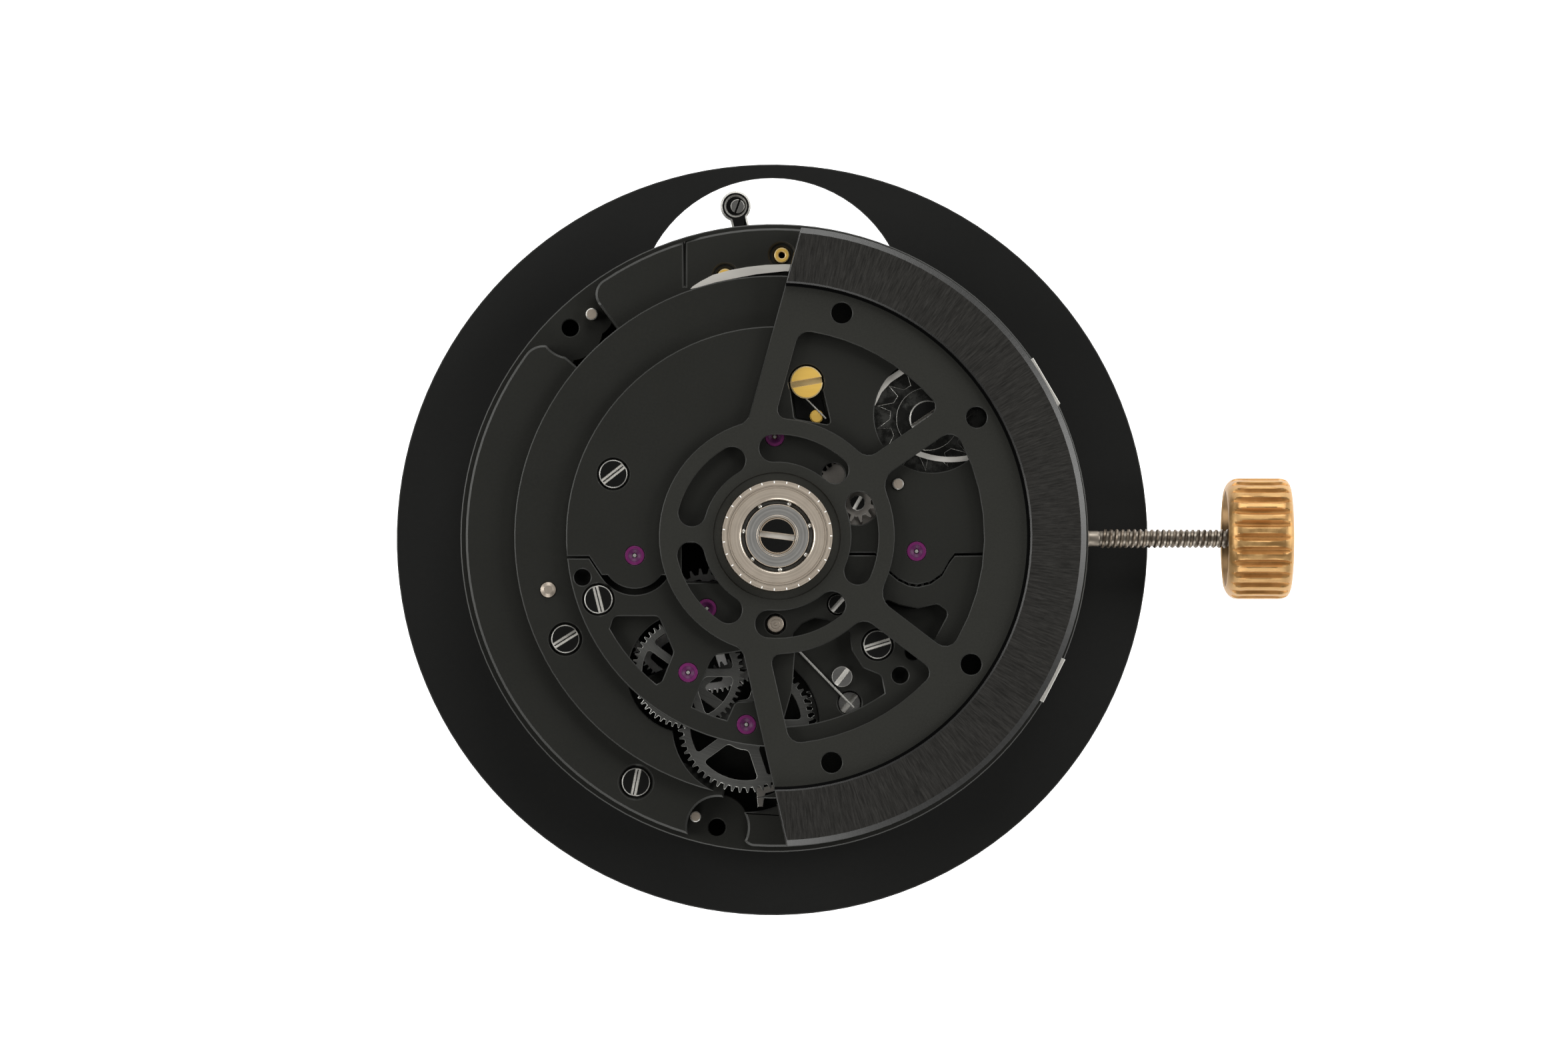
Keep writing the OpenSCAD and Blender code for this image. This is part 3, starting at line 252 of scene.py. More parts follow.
def node(tree, kind, **settings):
    """A new node; a setting is one of its properties, or feeds the input of that name."""
    made = tree.nodes.new(kind)
    for key, value in settings.items():
        if hasattr(made, key):
            setattr(made, key, value)
        else:
            feed(tree, made.inputs[key.replace("_", " ")], value)
    return made


def maths(tree, operation, first, second):
    """The output of a maths node on two sockets or numbers."""
    made = node(tree, "ShaderNodeMath", operation=operation)
    feed(tree, made.inputs[0], first)
    feed(tree, made.inputs[1], second)
    return made.outputs[0]


def vector_maths(tree, operation, first, second=None):
    """The output of a vector maths node on one or two sockets or vectors."""
    made = node(tree, "ShaderNodeVectorMath", operation=operation)
    feed(tree, made.inputs[0], first)
    if second is not None:
        feed(tree, made.inputs[1], second)
    return made.outputs["Value" if operation == "LENGTH" else "Vector"]


# Repeated pieces, placed by geometry nodes

TREES = {}
FINISH_COUNT = 3


def new_tree(name, inputs):
    """A geometry node tree with named inputs and a mesh as output, and what it is given."""
    tree = bpy.data.node_groups.new(name, "GeometryNodeTree")
    tree.is_modifier = True
    for label, kind, value in [("Geometry", "Geometry", None), *inputs]:
        socket = tree.interface.new_socket(label, in_out="INPUT", socket_type="NodeSocket" + kind)
        if value is not None:
            socket.default_value = value
    tree.interface.new_socket("Geometry", in_out="OUTPUT", socket_type="NodeSocketGeometry")
    TREES[name] = tree
    return tree, tree.nodes.new("NodeGroupInput").outputs


def named(tree, label, kind):
    """The output socket of a named attribute."""
    made = node(tree, "GeometryNodeInputNamedAttribute", data_type=kind, Name=label)
    return made.outputs["Attribute"]


def fittings_tree():
    """Puts a pattern at each point, turned and sized by the point, in up to three finishes."""
    finishes = [(f"Finish {k}", "Material", None) for k in range(FINISH_COUNT)]
    tree, given = new_tree(
        "Repeated Fittings", [("Pattern", "Object", None), ("Size", "Float", 1.0), *finishes])
    pattern = node(tree, "GeometryNodeObjectInfo", Object=given["Pattern"])
    turn = node(tree, "FunctionNodeEulerToRotation", Euler=named(tree, "turn", "FLOAT_VECTOR"))
    size = maths(tree, "MULTIPLY", named(tree, "size", "FLOAT"), given["Size"])
    place = node(tree, "GeometryNodeInstanceOnPoints", Points=given["Geometry"],
                 Instance=pattern.outputs["Geometry"], Rotation=turn.outputs["Rotation"],
                 Scale=size)
    real = node(tree, "GeometryNodeRealizeInstances", Geometry=place.outputs["Instances"])
    last = real.outputs["Geometry"]
    for k in range(FINISH_COUNT):
        same = node(tree, "FunctionNodeCompare", data_type="INT", operation="EQUAL",
                    A=named(tree, "finish", "INT"), B=k)
        coat = node(tree, "GeometryNodeSetMaterial", Geometry=last,
                    Selection=same.outputs["Result"], Material=given[f"Finish {k}"])
        last = coat.outputs["Geometry"]
    node(tree, "NodeGroupOutput", Geometry=last)
    return tree


def thread_tree():
    """Winds a ridge round a line along X."""
    labels = ("Pitch", "Length", "Radius", "Start", "Height", "Ridge")
    tree, given = new_tree("Wound Thread", [
        *((label, "Float", None) for label in labels), ("Finish", "Material", None)])
    spiral = node(tree, "GeometryNodeCurveSpiral", Resolution=THREAD_STEPS,
                  Rotations=maths(tree, "DIVIDE", given["Length"], given["Pitch"]),
                  Height=given["Length"], Start_Radius=given["Radius"],
                  End_Radius=given["Radius"])
    section = node(tree, "GeometryNodeCurvePrimitiveCircle", Resolution=THREAD_RIDGE_SIDES,
                   Radius=given["Ridge"])
    sweep = node(tree, "GeometryNodeCurveToMesh", Fill_Caps=True, Curve=spiral.outputs["Curve"],
                 Profile_Curve=section.outputs["Curve"])
    place = node(tree, "ShaderNodeCombineXYZ", X=given["Start"], Z=given["Height"])
    lay = node(tree, "GeometryNodeTransform", Geometry=sweep.outputs["Mesh"],
               Translation=place.outputs[0], Rotation=(0, math.radians(90), 0))
    real = node(tree, "GeometryNodeRealizeInstances", Geometry=lay.outputs["Geometry"])
    coat = node(tree, "GeometryNodeSetMaterial", Geometry=real.outputs["Geometry"],
                Material=given["Finish"])
    node(tree, "NodeGroupOutput", Geometry=coat.outputs["Geometry"])
    return tree


def made_by(tree, holder, values):
    """The plain mesh that a node tree makes on a holder, whose modifier is then removed."""
    bpy.context.scene.collection.objects.link(holder)
    modifier = holder.modifiers.new(tree.name, "NODES")
    modifier.node_group = tree
    for item in tree.interface.items_tree:
        if item.in_out == "INPUT" and item.name in values:
            modifier[item.identifier] = values[item.name]
    bpy.context.view_layer.update()
    graph = bpy.context.evaluated_depsgraph_get()
    mesh = bpy.data.meshes.new_from_object(holder.evaluated_get(graph))
    holder.modifiers.clear()
    bpy.data.objects.remove(holder)
    return mesh


def fittings(name, pattern, places, coats, body, replaced=(), weld=False, sharp=30):
    """One mesh of a pattern at each place: a point in mm, its turn in degrees and its size."""
    spots = bpy.data.meshes.new(name + "_spots")
    spots.from_pydata([Vector(place) * MM for place, turn, size in places], [], [])
    turns = [math.radians(angle) for place, turn, size in places for angle in turn]
    spots.attributes.new("turn", "FLOAT_VECTOR", "POINT").data.foreach_set("vector", turns)
    widths = [size for place, turn, size in places]
    spots.attributes.new("size", "FLOAT", "POINT").data.foreach_set("value", widths)
    shape = bpy.data.meshes.new(name + "_pattern")
    marks = [face.material_index for face in pattern.faces]
    pattern.to_mesh(shape)
    pattern.free()
    shape.attributes.new("finish", "INT", "FACE").data.foreach_set("value", marks)
    shape.polygons.foreach_set("material_index", [0] * len(marks))
    model = bpy.data.objects.new(name + "_pattern", shape)
    bpy.context.scene.collection.objects.link(model)
    values = {"Pattern": model}
    for k in range(FINISH_COUNT):
        values[f"Finish {k}"] = coats[min(k, len(coats) - 1)]
    tree = TREES.get("Repeated Fittings") or fittings_tree()
    mesh = made_by(tree, bpy.data.objects.new(name + "_holder", spots), values)
    bpy.data.objects.remove(model)
    bm = bmesh.new()
    bm.from_mesh(mesh)
    # the tree leaves an empty first material, which is dropped
    used = [material for material in mesh.materials if material]
    for face in bm.faces:
        face.material_index -= len(mesh.materials) - len(used)
    if weld:
        bmesh.ops.remove_doubles(bm, verts=bm.verts, dist=WELD_WITHIN)
        bmesh.ops.recalc_face_normals(bm, faces=bm.faces)
    return finished(name, bm, used, body, replaced, sharp)


def spot(x, y, z, turn=0, size=1):
    """A place for a fitting that is turned only about Z."""
    return (x, y, z), (0, 0, turn), size


# Shader node groups


def finish_group(name, scale, *extra):
    """A shader group with every finish's sockets and some extra, its inputs and the place."""
    tree = bpy.data.node_groups.new(name, "ShaderNodeTree")
    inputs = [
        ("Color", "Color", (0.05, 0.05, 0.05, 1)),
        ("Second Color", "Color", (0.08, 0.08, 0.08, 1)),
        ("Roughness", "Float", 0.4),
        ("Spread", "Float", 0.2),
        ("Scale", "Float", scale),
    ]
    for label, kind, value in (*inputs, *extra):
        socket = tree.interface.new_socket(label, in_out="INPUT", socket_type="NodeSocket" + kind)
        socket.default_value = value
    for label, kind in (("Color", "Color"), ("Roughness", "Float"), ("Height", "Float")):
        tree.interface.new_socket(label, in_out="OUTPUT", socket_type="NodeSocket" + kind)
    given = node(tree, "NodeGroupInput").outputs
    return tree, given, node(tree, "ShaderNodeTexCoord").outputs["Object"]


def finish_outputs(tree, given, mask, height):
    """Turns a mask into the colour, roughness and height that every finish group gives."""
    mix = node(tree, "ShaderNodeMix", data_type="RGBA", Factor=mask, A=given["Color"],
               B=given["Second Color"])
    swing = maths(tree, "MULTIPLY", maths(tree, "SUBTRACT", mask, 0.5), given["Spread"])
    rough = maths(tree, "ADD", swing, given["Roughness"])
    node(tree, "NodeGroupOutput", Color=mix.outputs["Result"], Roughness=rough, Height=height)
    return tree


def noise(tree, place, scale, detail, rough=0.5):
    """The value of a noise texture at a place."""
    made = node(tree, "ShaderNodeTexNoise", Vector=place, Scale=scale, Detail=detail,
                Roughness=rough)
    return made.outputs["Fac"]


def blend(tree, first, second, share):
    """A share of the first value and the rest of the second."""
    return maths(tree, "ADD", maths(tree, "MULTIPLY", first, share),
                 maths(tree, "MULTIPLY", second, 1 - share))


def blasted_group():
    """Fine even grain with faint clouds, as on a plated and bead-blasted plate."""
    tree, given, place = finish_group("Blasted Grain", 9000)
    grain = noise(tree, place, given["Scale"], 3.0, 0.7)
    clouds = noise(tree, place, 260.0, 4.0, 0.55)
    return finish_outputs(tree, given, blend(tree, grain, clouds, 0.65), grain)


def radial_group():
    """Fine lines that run outwards from the axis, as a radial graining wheel leaves them."""
    tree, given, place = finish_group("Radial Graining", 210)
    flat = vector_maths(tree, "MULTIPLY", place, (1, 1, 0))
    rise = maths(tree, "MULTIPLY", vector_maths(tree, "LENGTH", flat), 90.0)
    lift = node(tree, "ShaderNodeCombineXYZ", Z=rise).outputs[0]
    way = vector_maths(tree, "ADD", vector_maths(tree, "NORMALIZE", flat), lift)
    stretched = vector_maths(tree, "MULTIPLY", way, (1, 1, 0.08))
    lines = noise(tree, stretched, given["Scale"], 4.0, 0.75)
    return finish_outputs(tree, given, lines, lines)


def turned_group():
    """Fine rings about the axis, as a lathe leaves them; Centre and Axis Mask place the axis."""
    tree, given, place = finish_group(
        "Turned Rings", 16000, ("Centre", "Vector", (0, 0, 0)), ("Axis Mask", "Vector", (1, 1, 0)))
    moved = vector_maths(tree, "SUBTRACT", place, given["Centre"])
    flat = vector_maths(tree, "MULTIPLY", moved, given["Axis Mask"])
    line = node(tree, "ShaderNodeTexNoise", noise_dimensions="1D", Scale=given["Scale"],
                W=vector_maths(tree, "LENGTH", flat), Detail=3.0, Roughness=0.7)
    rings = line.outputs["Fac"]
    spots = noise(tree, place, 1500.0, 3.0)
    return finish_outputs(tree, given, blend(tree, rings, spots, 0.75), rings)


def straight_group():
    """Straight grain along X."""
    tree, given, place = finish_group("Straight Graining", 3000)
    stretched = vector_maths(tree, "MULTIPLY", place, (0.06, 1, 1))
    lines = noise(tree, stretched, given["Scale"], 4.0, 0.7)
    return finish_outputs(tree, given, lines, lines)


def worn_group():
    """Plating rubbed off along raised places: a mask of patches, stronger where Edge is high."""
    tree, given, place = finish_group("Worn Plating", 900, ("Edge", "Float", 0.0))
    patches = noise(tree, place, given["Scale"], 5.0, 0.65)
    grain = noise(tree, place, 7000.0, 3.0)
    ramp = node(tree, "ShaderNodeMapRange", interpolation_type="SMOOTHSTEP", From_Min=0.42,
                From_Max=0.62, Value=maths(tree, "ADD", patches, given["Edge"]))
    mask = blend(tree, ramp.outputs["Result"], grain, 0.8)
    return finish_outputs(tree, given, mask, grain)


# Materials

GROUPS = {}
MATERIALS = {}


def shader_group(kind):
    """The node group of a kind of finish, built the first time that it is asked for."""
    makers = {
        "blasted": blasted_group,
        "radial": radial_group,
        "turned": turned_group,
        "straight": straight_group,
        "worn": worn_group,
    }
    if kind not in GROUPS:
        GROUPS[kind] = makers[kind]()
    return GROUPS[kind]


def metal(name, kind, color, second, rough, spread=0.15, bump=0.1, depth=0.004, metallic=0.9,
          specular=0.5, coat=0.0, **extra):
    """A finish: a shader group for what varies, and constants on the shader itself."""
    if name in MATERIALS:
        return MATERIALS[name]
    made = bpy.data.materials.new(name)
    made.use_nodes = True
    tree = made.node_tree
    effect = node(tree, "ShaderNodeGroup", node_tree=shader_group(kind), Color=(*color, 1),
                  Second_Color=(*second, 1), Roughness=rough, Spread=spread, **extra)
    lift = node(tree, "ShaderNodeBump", Strength=bump, Distance=depth * MM,
                Height=effect.outputs["Height"])
    shader = tree.nodes["Principled BSDF"]
    for label, value in (
        ("Base Color", effect.outputs["Color"]),
        ("Roughness", effect.outputs["Roughness"]),
        ("Normal", lift.outputs["Normal"]),
        ("Metallic", metallic),
        ("Specular IOR Level", specular),
        ("Coat Weight", coat),
    ):
        feed(tree, shader.inputs[label], value)
    MATERIALS[name] = made
    return made


# The turned rings of the stem and the crown run about the stem's axis
AROUND_STEM = {"Axis_Mask": (0, 1, 1), "Centre": (0, 0, STEM_HEIGHT * MM)}


def charcoal():
    return metal("charcoal_plating", "blasted", (0.0074, 0.0076, 0.0058), (0.0126, 0.0126, 0.0100),
                 0.55, metallic=0.3, bump=0.25, depth=0.006, specular=0.3)


def frame_charcoal():
    """Slightly lighter plating of the rotor's frame."""
    return metal("frame_plating", "blasted", (0.0140, 0.0140, 0.0115), (0.0240, 0.0240, 0.0200),
                 0.52, metallic=0.3, bump=0.25, depth=0.006, specular=0.3)


# painted shadow: near-black colour for the band that stands for the shade in the gap at the weight's
# inner edge
def painted_gap_shadow():
    return metal("painted_gap_shadow", "blasted", (0.001, 0.001, 0.001), (0.002, 0.002, 0.002), 0.8,
                 metallic=0.0, bump=0.0, specular=0.05)


def charcoal_edge():
    return metal("charcoal_edge", "blasted", (0.020, 0.0205, 0.018), (0.034, 0.034, 0.031), 0.48,
                 metallic=0.5, bump=0.1)


def dial_black():
    return metal("dial_lacquer", "blasted", (0.0022, 0.0023, 0.0018), (0.005, 0.005, 0.0042), 0.6,
                 metallic=0.0, bump=0.15, Scale=5000, specular=0.22)


def weight_brushed():
    return metal("weight_graining", "radial", (0.006, 0.006, 0.0055), (0.066, 0.063, 0.057), 0.42,
                 spread=0.35, metallic=0.72, bump=0.5, depth=0.01, Scale=165)


def weight_polished():
    return metal("weight_bevel", "radial", (0.045, 0.045, 0.044), (0.07, 0.07, 0.068), 0.4,
                 spread=0.06, metallic=0.85, bump=0.03, Scale=150)


def black_polish():
    return metal("black_polish", "blasted", (0.015, 0.015, 0.014), (0.024, 0.024, 0.023), 0.16,
                 spread=0.06, metallic=0.72, bump=0.02)


def bright_rim():
    return metal("bright_rim", "blasted", (0.40, 0.39, 0.36), (0.58, 0.57, 0.53), 0.28,
                 metallic=0.65, bump=0.05)


def bright_steel():
    return metal("bright_steel", "straight", (0.48, 0.47, 0.44), (0.66, 0.65, 0.62), 0.28,
                 metallic=1.0, bump=0.08)


def gear_steel():
    return metal("gear_steel", "turned", (0.105, 0.105, 0.098), (0.225, 0.225, 0.21), 0.4,
                 metallic=0.82, bump=0.12)


def gear_edge():
    return metal("gear_edge", "blasted", (0.26, 0.26, 0.24), (0.38, 0.38, 0.355), 0.34,
                 metallic=0.6, bump=0.05)


def bearing_steel():
    return metal("bearing_steel", "turned", (0.29, 0.25, 0.20), (0.60, 0.515, 0.42), 0.4,
                 spread=0.25, metallic=0.6, bump=0.2, Scale=14000)


def inner_ring_steel():
    return metal("inner_ring_steel", "turned", (0.15, 0.148, 0.140), (0.36, 0.348, 0.325), 0.4,
                 spread=0.25, metallic=0.6, bump=0.2, Scale=11000)


def gilt():
    return metal("gilt_brass", "turned", (0.36, 0.27, 0.12), (0.52, 0.40, 0.20), 0.36,
                 metallic=1.0, bump=0.1)


def gold():
    return metal("polished_gold", "straight", (0.66, 0.40, 0.07), (0.86, 0.57, 0.14), 0.3,
                 metallic=0.4, bump=0.08)


def pale_steel():
    return metal("pale_lever_steel", "straight", (0.62, 0.59, 0.53), (0.76, 0.74, 0.69), 0.42,
                 metallic=0.5, bump=0.1)


def blued():
    return metal("spring_steel", "straight", (0.05, 0.07, 0.16), (0.10, 0.14, 0.28), 0.3,
                 metallic=1.0)


def crown_gold():
    return metal("crown_plating", "worn", (0.38, 0.18, 0.048), (0.46, 0.235, 0.072), 0.46,
                 spread=0.2, metallic=0.65, bump=0.2, depth=0.02, Scale=700)


def bearing_edge_highlight():
    """Turned edges of the bearing, painted as a warm highlight: a brighter copy of its turned steel.
    """
    return metal("bearing_edge_highlight", "blasted", (0.46, 0.40, 0.33), (0.70, 0.62, 0.52), 0.3,
                 metallic=0.6, bump=0.1)


def slot_steel_painted_light():
    """Cut floor of a screw's slot: bright cut steel, lifted to near-white as painted light against its
    shade.
    """
    return metal("slot_steel_painted_light", "straight", (0.55, 0.53, 0.49), (0.95, 0.93, 0.87), 0.38,
                 metallic=0.2, bump=0.3, Scale=6000)


def gold_light():
    return metal("gold_light", "straight", (0.62, 0.46, 0.20), (0.80, 0.64, 0.36), 0.28,
                 metallic=0.5, bump=0.08)


def pin_steel():
    """Turned flat ends of the pins, whitish with a touch of pink."""
    return metal("pin_steel", "turned", (0.26, 0.222, 0.18), (0.38, 0.325, 0.265), 0.45,
                 metallic=0.6, bump=0.1)


def glossy_gear():
    """Dark polished steel with blotches."""
    return metal("glossy_gear", "worn", (0.020, 0.020, 0.018), (0.085, 0.085, 0.078), 0.28,
                 metallic=0.75, bump=0.02, Scale=1400)


def pale_gear():
    return metal("pale_gear_steel", "blasted", (0.26, 0.24, 0.215), (0.42, 0.39, 0.35), 0.42,
                 metallic=0.6, bump=0.1)


def painted_light_white():
    """Painted light: near-white on the driving wheel in its shaded gap, and on the notches' glints."""
    return metal("painted_light_white_steel", "blasted", (0.82, 0.80, 0.76), (0.95, 0.94, 0.91), 0.42,
                 metallic=0.0, bump=0.1)


def crown_recess():
    """Brown inner face of the crown."""
    return metal("crown_recess", "turned", (0.12, 0.07, 0.03), (0.24, 0.15, 0.07), 0.35,
                 metallic=0.8, bump=0.1, **AROUND_STEM)


def thread_steel():
    """Worn crests of the thread, brown in the roots."""
    return metal("thread_steel", "worn", (0.095, 0.075, 0.054), (0.21, 0.172, 0.132), 0.38,
                 metallic=0.7, bump=0.1, Scale=2600)


def crown_ridge():
    return metal("crown_worn_ridge", "worn", (0.33, 0.18, 0.060), (0.43, 0.26, 0.10), 0.42,
                 spread=0.2, metallic=0.65, bump=0.2, depth=0.02, Scale=1100, Edge=0.03)


def stem_steel():
    return metal("stem_steel", "turned", (0.17, 0.145, 0.115), (0.28, 0.245, 0.20), 0.38,
                 metallic=0.6, bump=0.1, **AROUND_STEM)


def ruby():
    """Magenta synthetic ruby: deep, glossy and a little see-through."""
    made = metal("ruby_ring", "turned", (0.075, 0.008, 0.055), (0.15, 0.02, 0.105), 0.12,
                 spread=0.05, metallic=0.0, bump=0.02, coat=0.25, Scale=5000)
    made.node_tree.nodes["Principled BSDF"].inputs["Transmission Weight"].default_value = 0.15
    return made


def ruby_deep():
    """Darker sink of a jewel."""
    return metal("ruby_deep", "turned", (0.03, 0.004, 0.026), (0.09, 0.012, 0.07), 0.45,
                 spread=0.05, metallic=0.0, bump=0.02, specular=0.2, Scale=5000)


# Sizes that a user would change


def length(name, description, default, high, low=0):
    """A length that a user may change, given in mm."""
    return bpy.props.FloatProperty(
        name=name, description=description, default=default * MM, min=low * MM, max=high * MM,
        unit="LENGTH", precision=6)


class MovementFinish(bpy.types.PropertyGroup):
    """Sizes of the fine work on the movement."""

    bridge_chamfer: length(
        "Bridge chamfer", "Width of the broken edges on the bridges", 0.05, 0.2)
    rotor_chamfer: length(
        "Rotor chamfer", "Width of the broken edges on the rotor's frame", 0.04, 0.2)
    pin_chamfer: length(
        "Pin chamfer", "Width of the broken edges on the pins and bushings", 0.045, 0.1)
    tooth_chamfer: length(
        "Tooth chamfer", "Width of the broken edges on a wheel's teeth and spokes", 0.022, 0.05)
    screw_head: length(
        "Screw head", "Radius of the bridge screws' heads", 0.67, 0.75, low=0.5)
    thread_pitch: length(
        "Thread pitch", "Rise of one turn of the stem's thread", 0.28, 0.5, low=0.1)
    bearing_notches: bpy.props.IntProperty(
        name="Bearing notches", description="Number of notches round the bearing's outer edge",
        default=27, min=12, max=48)
    crown_flutes: bpy.props.IntProperty(
        name="Crown flutes", description="Number of grooves round the crown", default=28, min=12,
        max=48)
    floor_white: bpy.props.FloatProperty(
        name="Floor glow", description="Brightness of the pale floor", default=1.0, min=0, max=3)


def sizes():
    return bpy.context.scene.movement_finish


# Patterns of small pieces; each has its top at height 0


def screw_pattern(slot, depth=0.3, line=True):
    """A slotted head of radius 1 mm with its shank: black faces 0, bright edges 1, slot 2."""
    bm = bmesh.new()
    steps, rim = 28, 0.07
    floor = lathe(bm, [(0.45, -1.5), (0.45, -0.5), (0.98, -0.5), (0.98, -depth)], 2 * steps,
                  material=2)
    for face in floor[:-1]:
        face.material_index = 0
    for side in (1, -1):
        loops = []
        for reach, gap, height in (
            (1.0, slot / 2, -depth - 0.03), (1.0, slot / 2, -rim),
            (1.0 - rim, slot / 2 + rim * 0.5, 0.0),
        ):
            start = math.asin(gap / reach)
            loop = []
            for k in range(steps + 1):
                turn = start + (math.pi - 2 * start) * k / steps
                loop.append(bm.verts.new((side * reach * math.cos(turn) * MM,
                                          side * reach * math.sin(turn) * MM, height * MM)))
            loops.append(loop)
        for low, high in zip(loops, loops[1:]):
            for k in range(steps + 1):
                n = (k + 1) % (steps + 1)
                bm.faces.new((low[k], low[n], high[n], high[k])).material_index = 1
        bm.faces.new(list(reversed(loops[0]))).material_index = 1
        bm.faces.new(loops[-1]).material_index = 0
    if line:
        half, wide = 0.9, slot * 0.09
        band(bm, [(-half, -wide), (half, -wide), (half, wide), (-half, wide)],
             -depth - 0.02, -depth + 0.03)
    return bm


def jewel_pattern():
    """A ring jewel of radius 1 mm with a turned sink and a pivot: ring 0, sink 1, pivot 2."""
    bm = bmesh.new()
    sink_reach = 0.69 * MM
    profile = [(0.98, -0.7), (1.0, -0.08), (0.94, 0.0), (0.70, 0.0), (0.66, -0.03), (0.60, -0.03),
               (0.27, -0.2), (0.25, -0.7)]
    lathe(bm, profile, 40, closed=True)
    for face in bm.faces:
        middle = face.calc_center_median()
        face.material_index = 1 if Vector((middle.x, middle.y)).length < sink_reach else 0
    lathe(bm, [(0.19, -0.7), (0.19, -0.16), (0.12, -0.08)], 20, material=2)
    return bm


def crown_pattern(flutes):
    """One flute's share of the crown, round the X axis: groove 0, ridge 1, recess 2."""
    bm = bmesh.new()
    # steps across the flute, its widest share of them, its roundness and the ridge's start
    columns, widest, roundness, ridge_from = 14, 0.60, 0.8, 0.85
    # height along the stem, radius and depth of the groove
    rows = [(22.1, 0.0, 0), (22.1, 2.2, 0), (21.66, 2.3, 0), (21.6, 2.36, 0), (21.61, 2.44, 0),
            (21.68, 2.58, 0), (21.77, 2.70, 0), (21.87, 2.79, 0.02), (21.97, 2.85, 0.10),
            (22.08, 2.885, 0.17), (22.22, 2.9, 0.21), (22.45, 2.9, 0.225), (22.9, 2.9, 0.23),
            (23.4, 2.9, 0.23), (23.9, 2.9, 0.225), (24.15, 2.9, 0.21), (24.3, 2.89, 0.17),
            (24.42, 2.86, 0.11), (24.52, 2.82, 0.03), (24.61, 2.75, 0), (24.68, 2.65, 0),
            (24.73, 2.5, 0), (24.75, 2.2, 0), (24.75, 0.0, 0)]
    deepest = max(row[2] for row in rows)
    grid = []
    for place, radius, depth in rows:
        line = []
        for k in range(columns + 1):
            across = 2 * k / columns - 1
            width = widest * math.sqrt(depth / deepest)
            cut = 0.0
            if depth and abs(across) < width:
                cut = depth * math.cos(math.pi / 2 * across / width) ** roundness
            turn = math.pi / flutes * across
            reach = (radius - cut) * MM
            if radius == 0 and line:
                line.append(line[0])
            else:
                line.append(bm.verts.new((place * MM, reach * math.cos(turn),
                                          reach * math.sin(turn))))
        grid.append(line)
    for i in range(len(rows) - 1):
        for k in range(columns):
            corners = (grid[i][k], grid[i][k + 1], grid[i + 1][k + 1], grid[i + 1][k])
            face = bm.faces.new(list(dict.fromkeys(corners)))
            across = abs(2 * (k + 0.5) / columns - 1)
            width = widest * math.sqrt(max(rows[i][2], rows[i + 1][2]) / deepest)
            face.material_index = 2 if i < 2 else 0 if across < width * ridge_from else 1
    return bm


# Operators


class MOVEMENT_OT_dial_and_plate(bpy.types.Operator):
    """Lacquer the dial black and plate the main plate and its hidden cocks"""

    bl_idname = "movement.dial_and_plate"
    bl_label = "Dial and Main Plate"

    def execute(self, context):
        chamfer = sizes().bridge_chamfer
        dressed_copy("dial", chamfer, (dial_black(), charcoal()))
        dressed_copy("main_plate", chamfer, (charcoal(), charcoal_edge()))
        for name in ("balance_cock", "pallet_bridge"):
            paint(name, charcoal())
        return {"FINISHED"}


class MOVEMENT_OT_bridges(bpy.types.Operator):
    """Plate the bridges matt charcoal with broken edges"""

    bl_idname = "movement.bridges"
    bl_label = "Bridges"

    def execute(self, context):
        coats = (charcoal(), charcoal_edge())
        for name in ("low_bridge_left", "low_bridge_top", "barrel_bridge"):
            dressed_copy(name, sizes().bridge_chamfer * 2, coats)
        for name in ("ring_bridge", "automatic_bridge", "train_bridge"):
            dressed_copy(name, sizes().bridge_chamfer, coats)
        return {"FINISHED"}


class MOVEMENT_OT_rotor(bpy.types.Operator):
    """Grain the rotor's weight and plate its skeleton frame"""

    bl_idname = "movement.rotor"
    bl_label = "Rotor"

    def execute(self, context):
        upright, chamfer, sloping = 0.05, 0.03 * MM, (0.3, 0.95)
        bm = from_node("rotor_weight")
        break_edges(bm, top_edges(bm, upright), chamfer)
        for face in bm.faces:
            if sloping[0] < face.normal.z < sloping[1]:
                face.material_index = 1
        finished("fine_rotor_weight", bm, (weight_brushed(), weight_polished()), "rotor",
                 ("rotor_weight",))
        dressed_copy("rotor_frame", sizes().rotor_chamfer, (frame_charcoal(), charcoal_edge()))
        self.seam()
        return {"FINISHED"}

    def seam(self):
        """Painted shadow of the gap along the weight's inner edge, where the frame drops away: a black
        band.
        """
        width, sunk, thickness, steps, slack = 0.14, 0.005, 0.01, 90, 0.02 * MM
        points = [vertex.co for vertex in NODES["rotor_weight"].data.vertices]
        inner = min(Vector((point.x, point.y)).length for point in points)
        turns = [math.atan2(point.y, point.x) for point in points
                 if Vector((point.x, point.y)).length < inner + slack]
        start, end = min(turns), max(turns)
        radius = inner / MM
        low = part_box("rotor_frame")[1][2] / MM - sunk
        outline = []
        for reach, order in ((radius, range(steps + 1)), (radius - width, range(steps, -1, -1))):
            for k in order:
                turn = start + (end - start) * k / steps
                outline.append((reach * math.cos(turn), reach * math.sin(turn)))
        bm = bmesh.new()
        band(bm, outline, low, low + thickness)
        # the near-black band is painted shadow, not a part of the movement
        finished("weight_seam", bm, (painted_gap_shadow(),), "rotor")


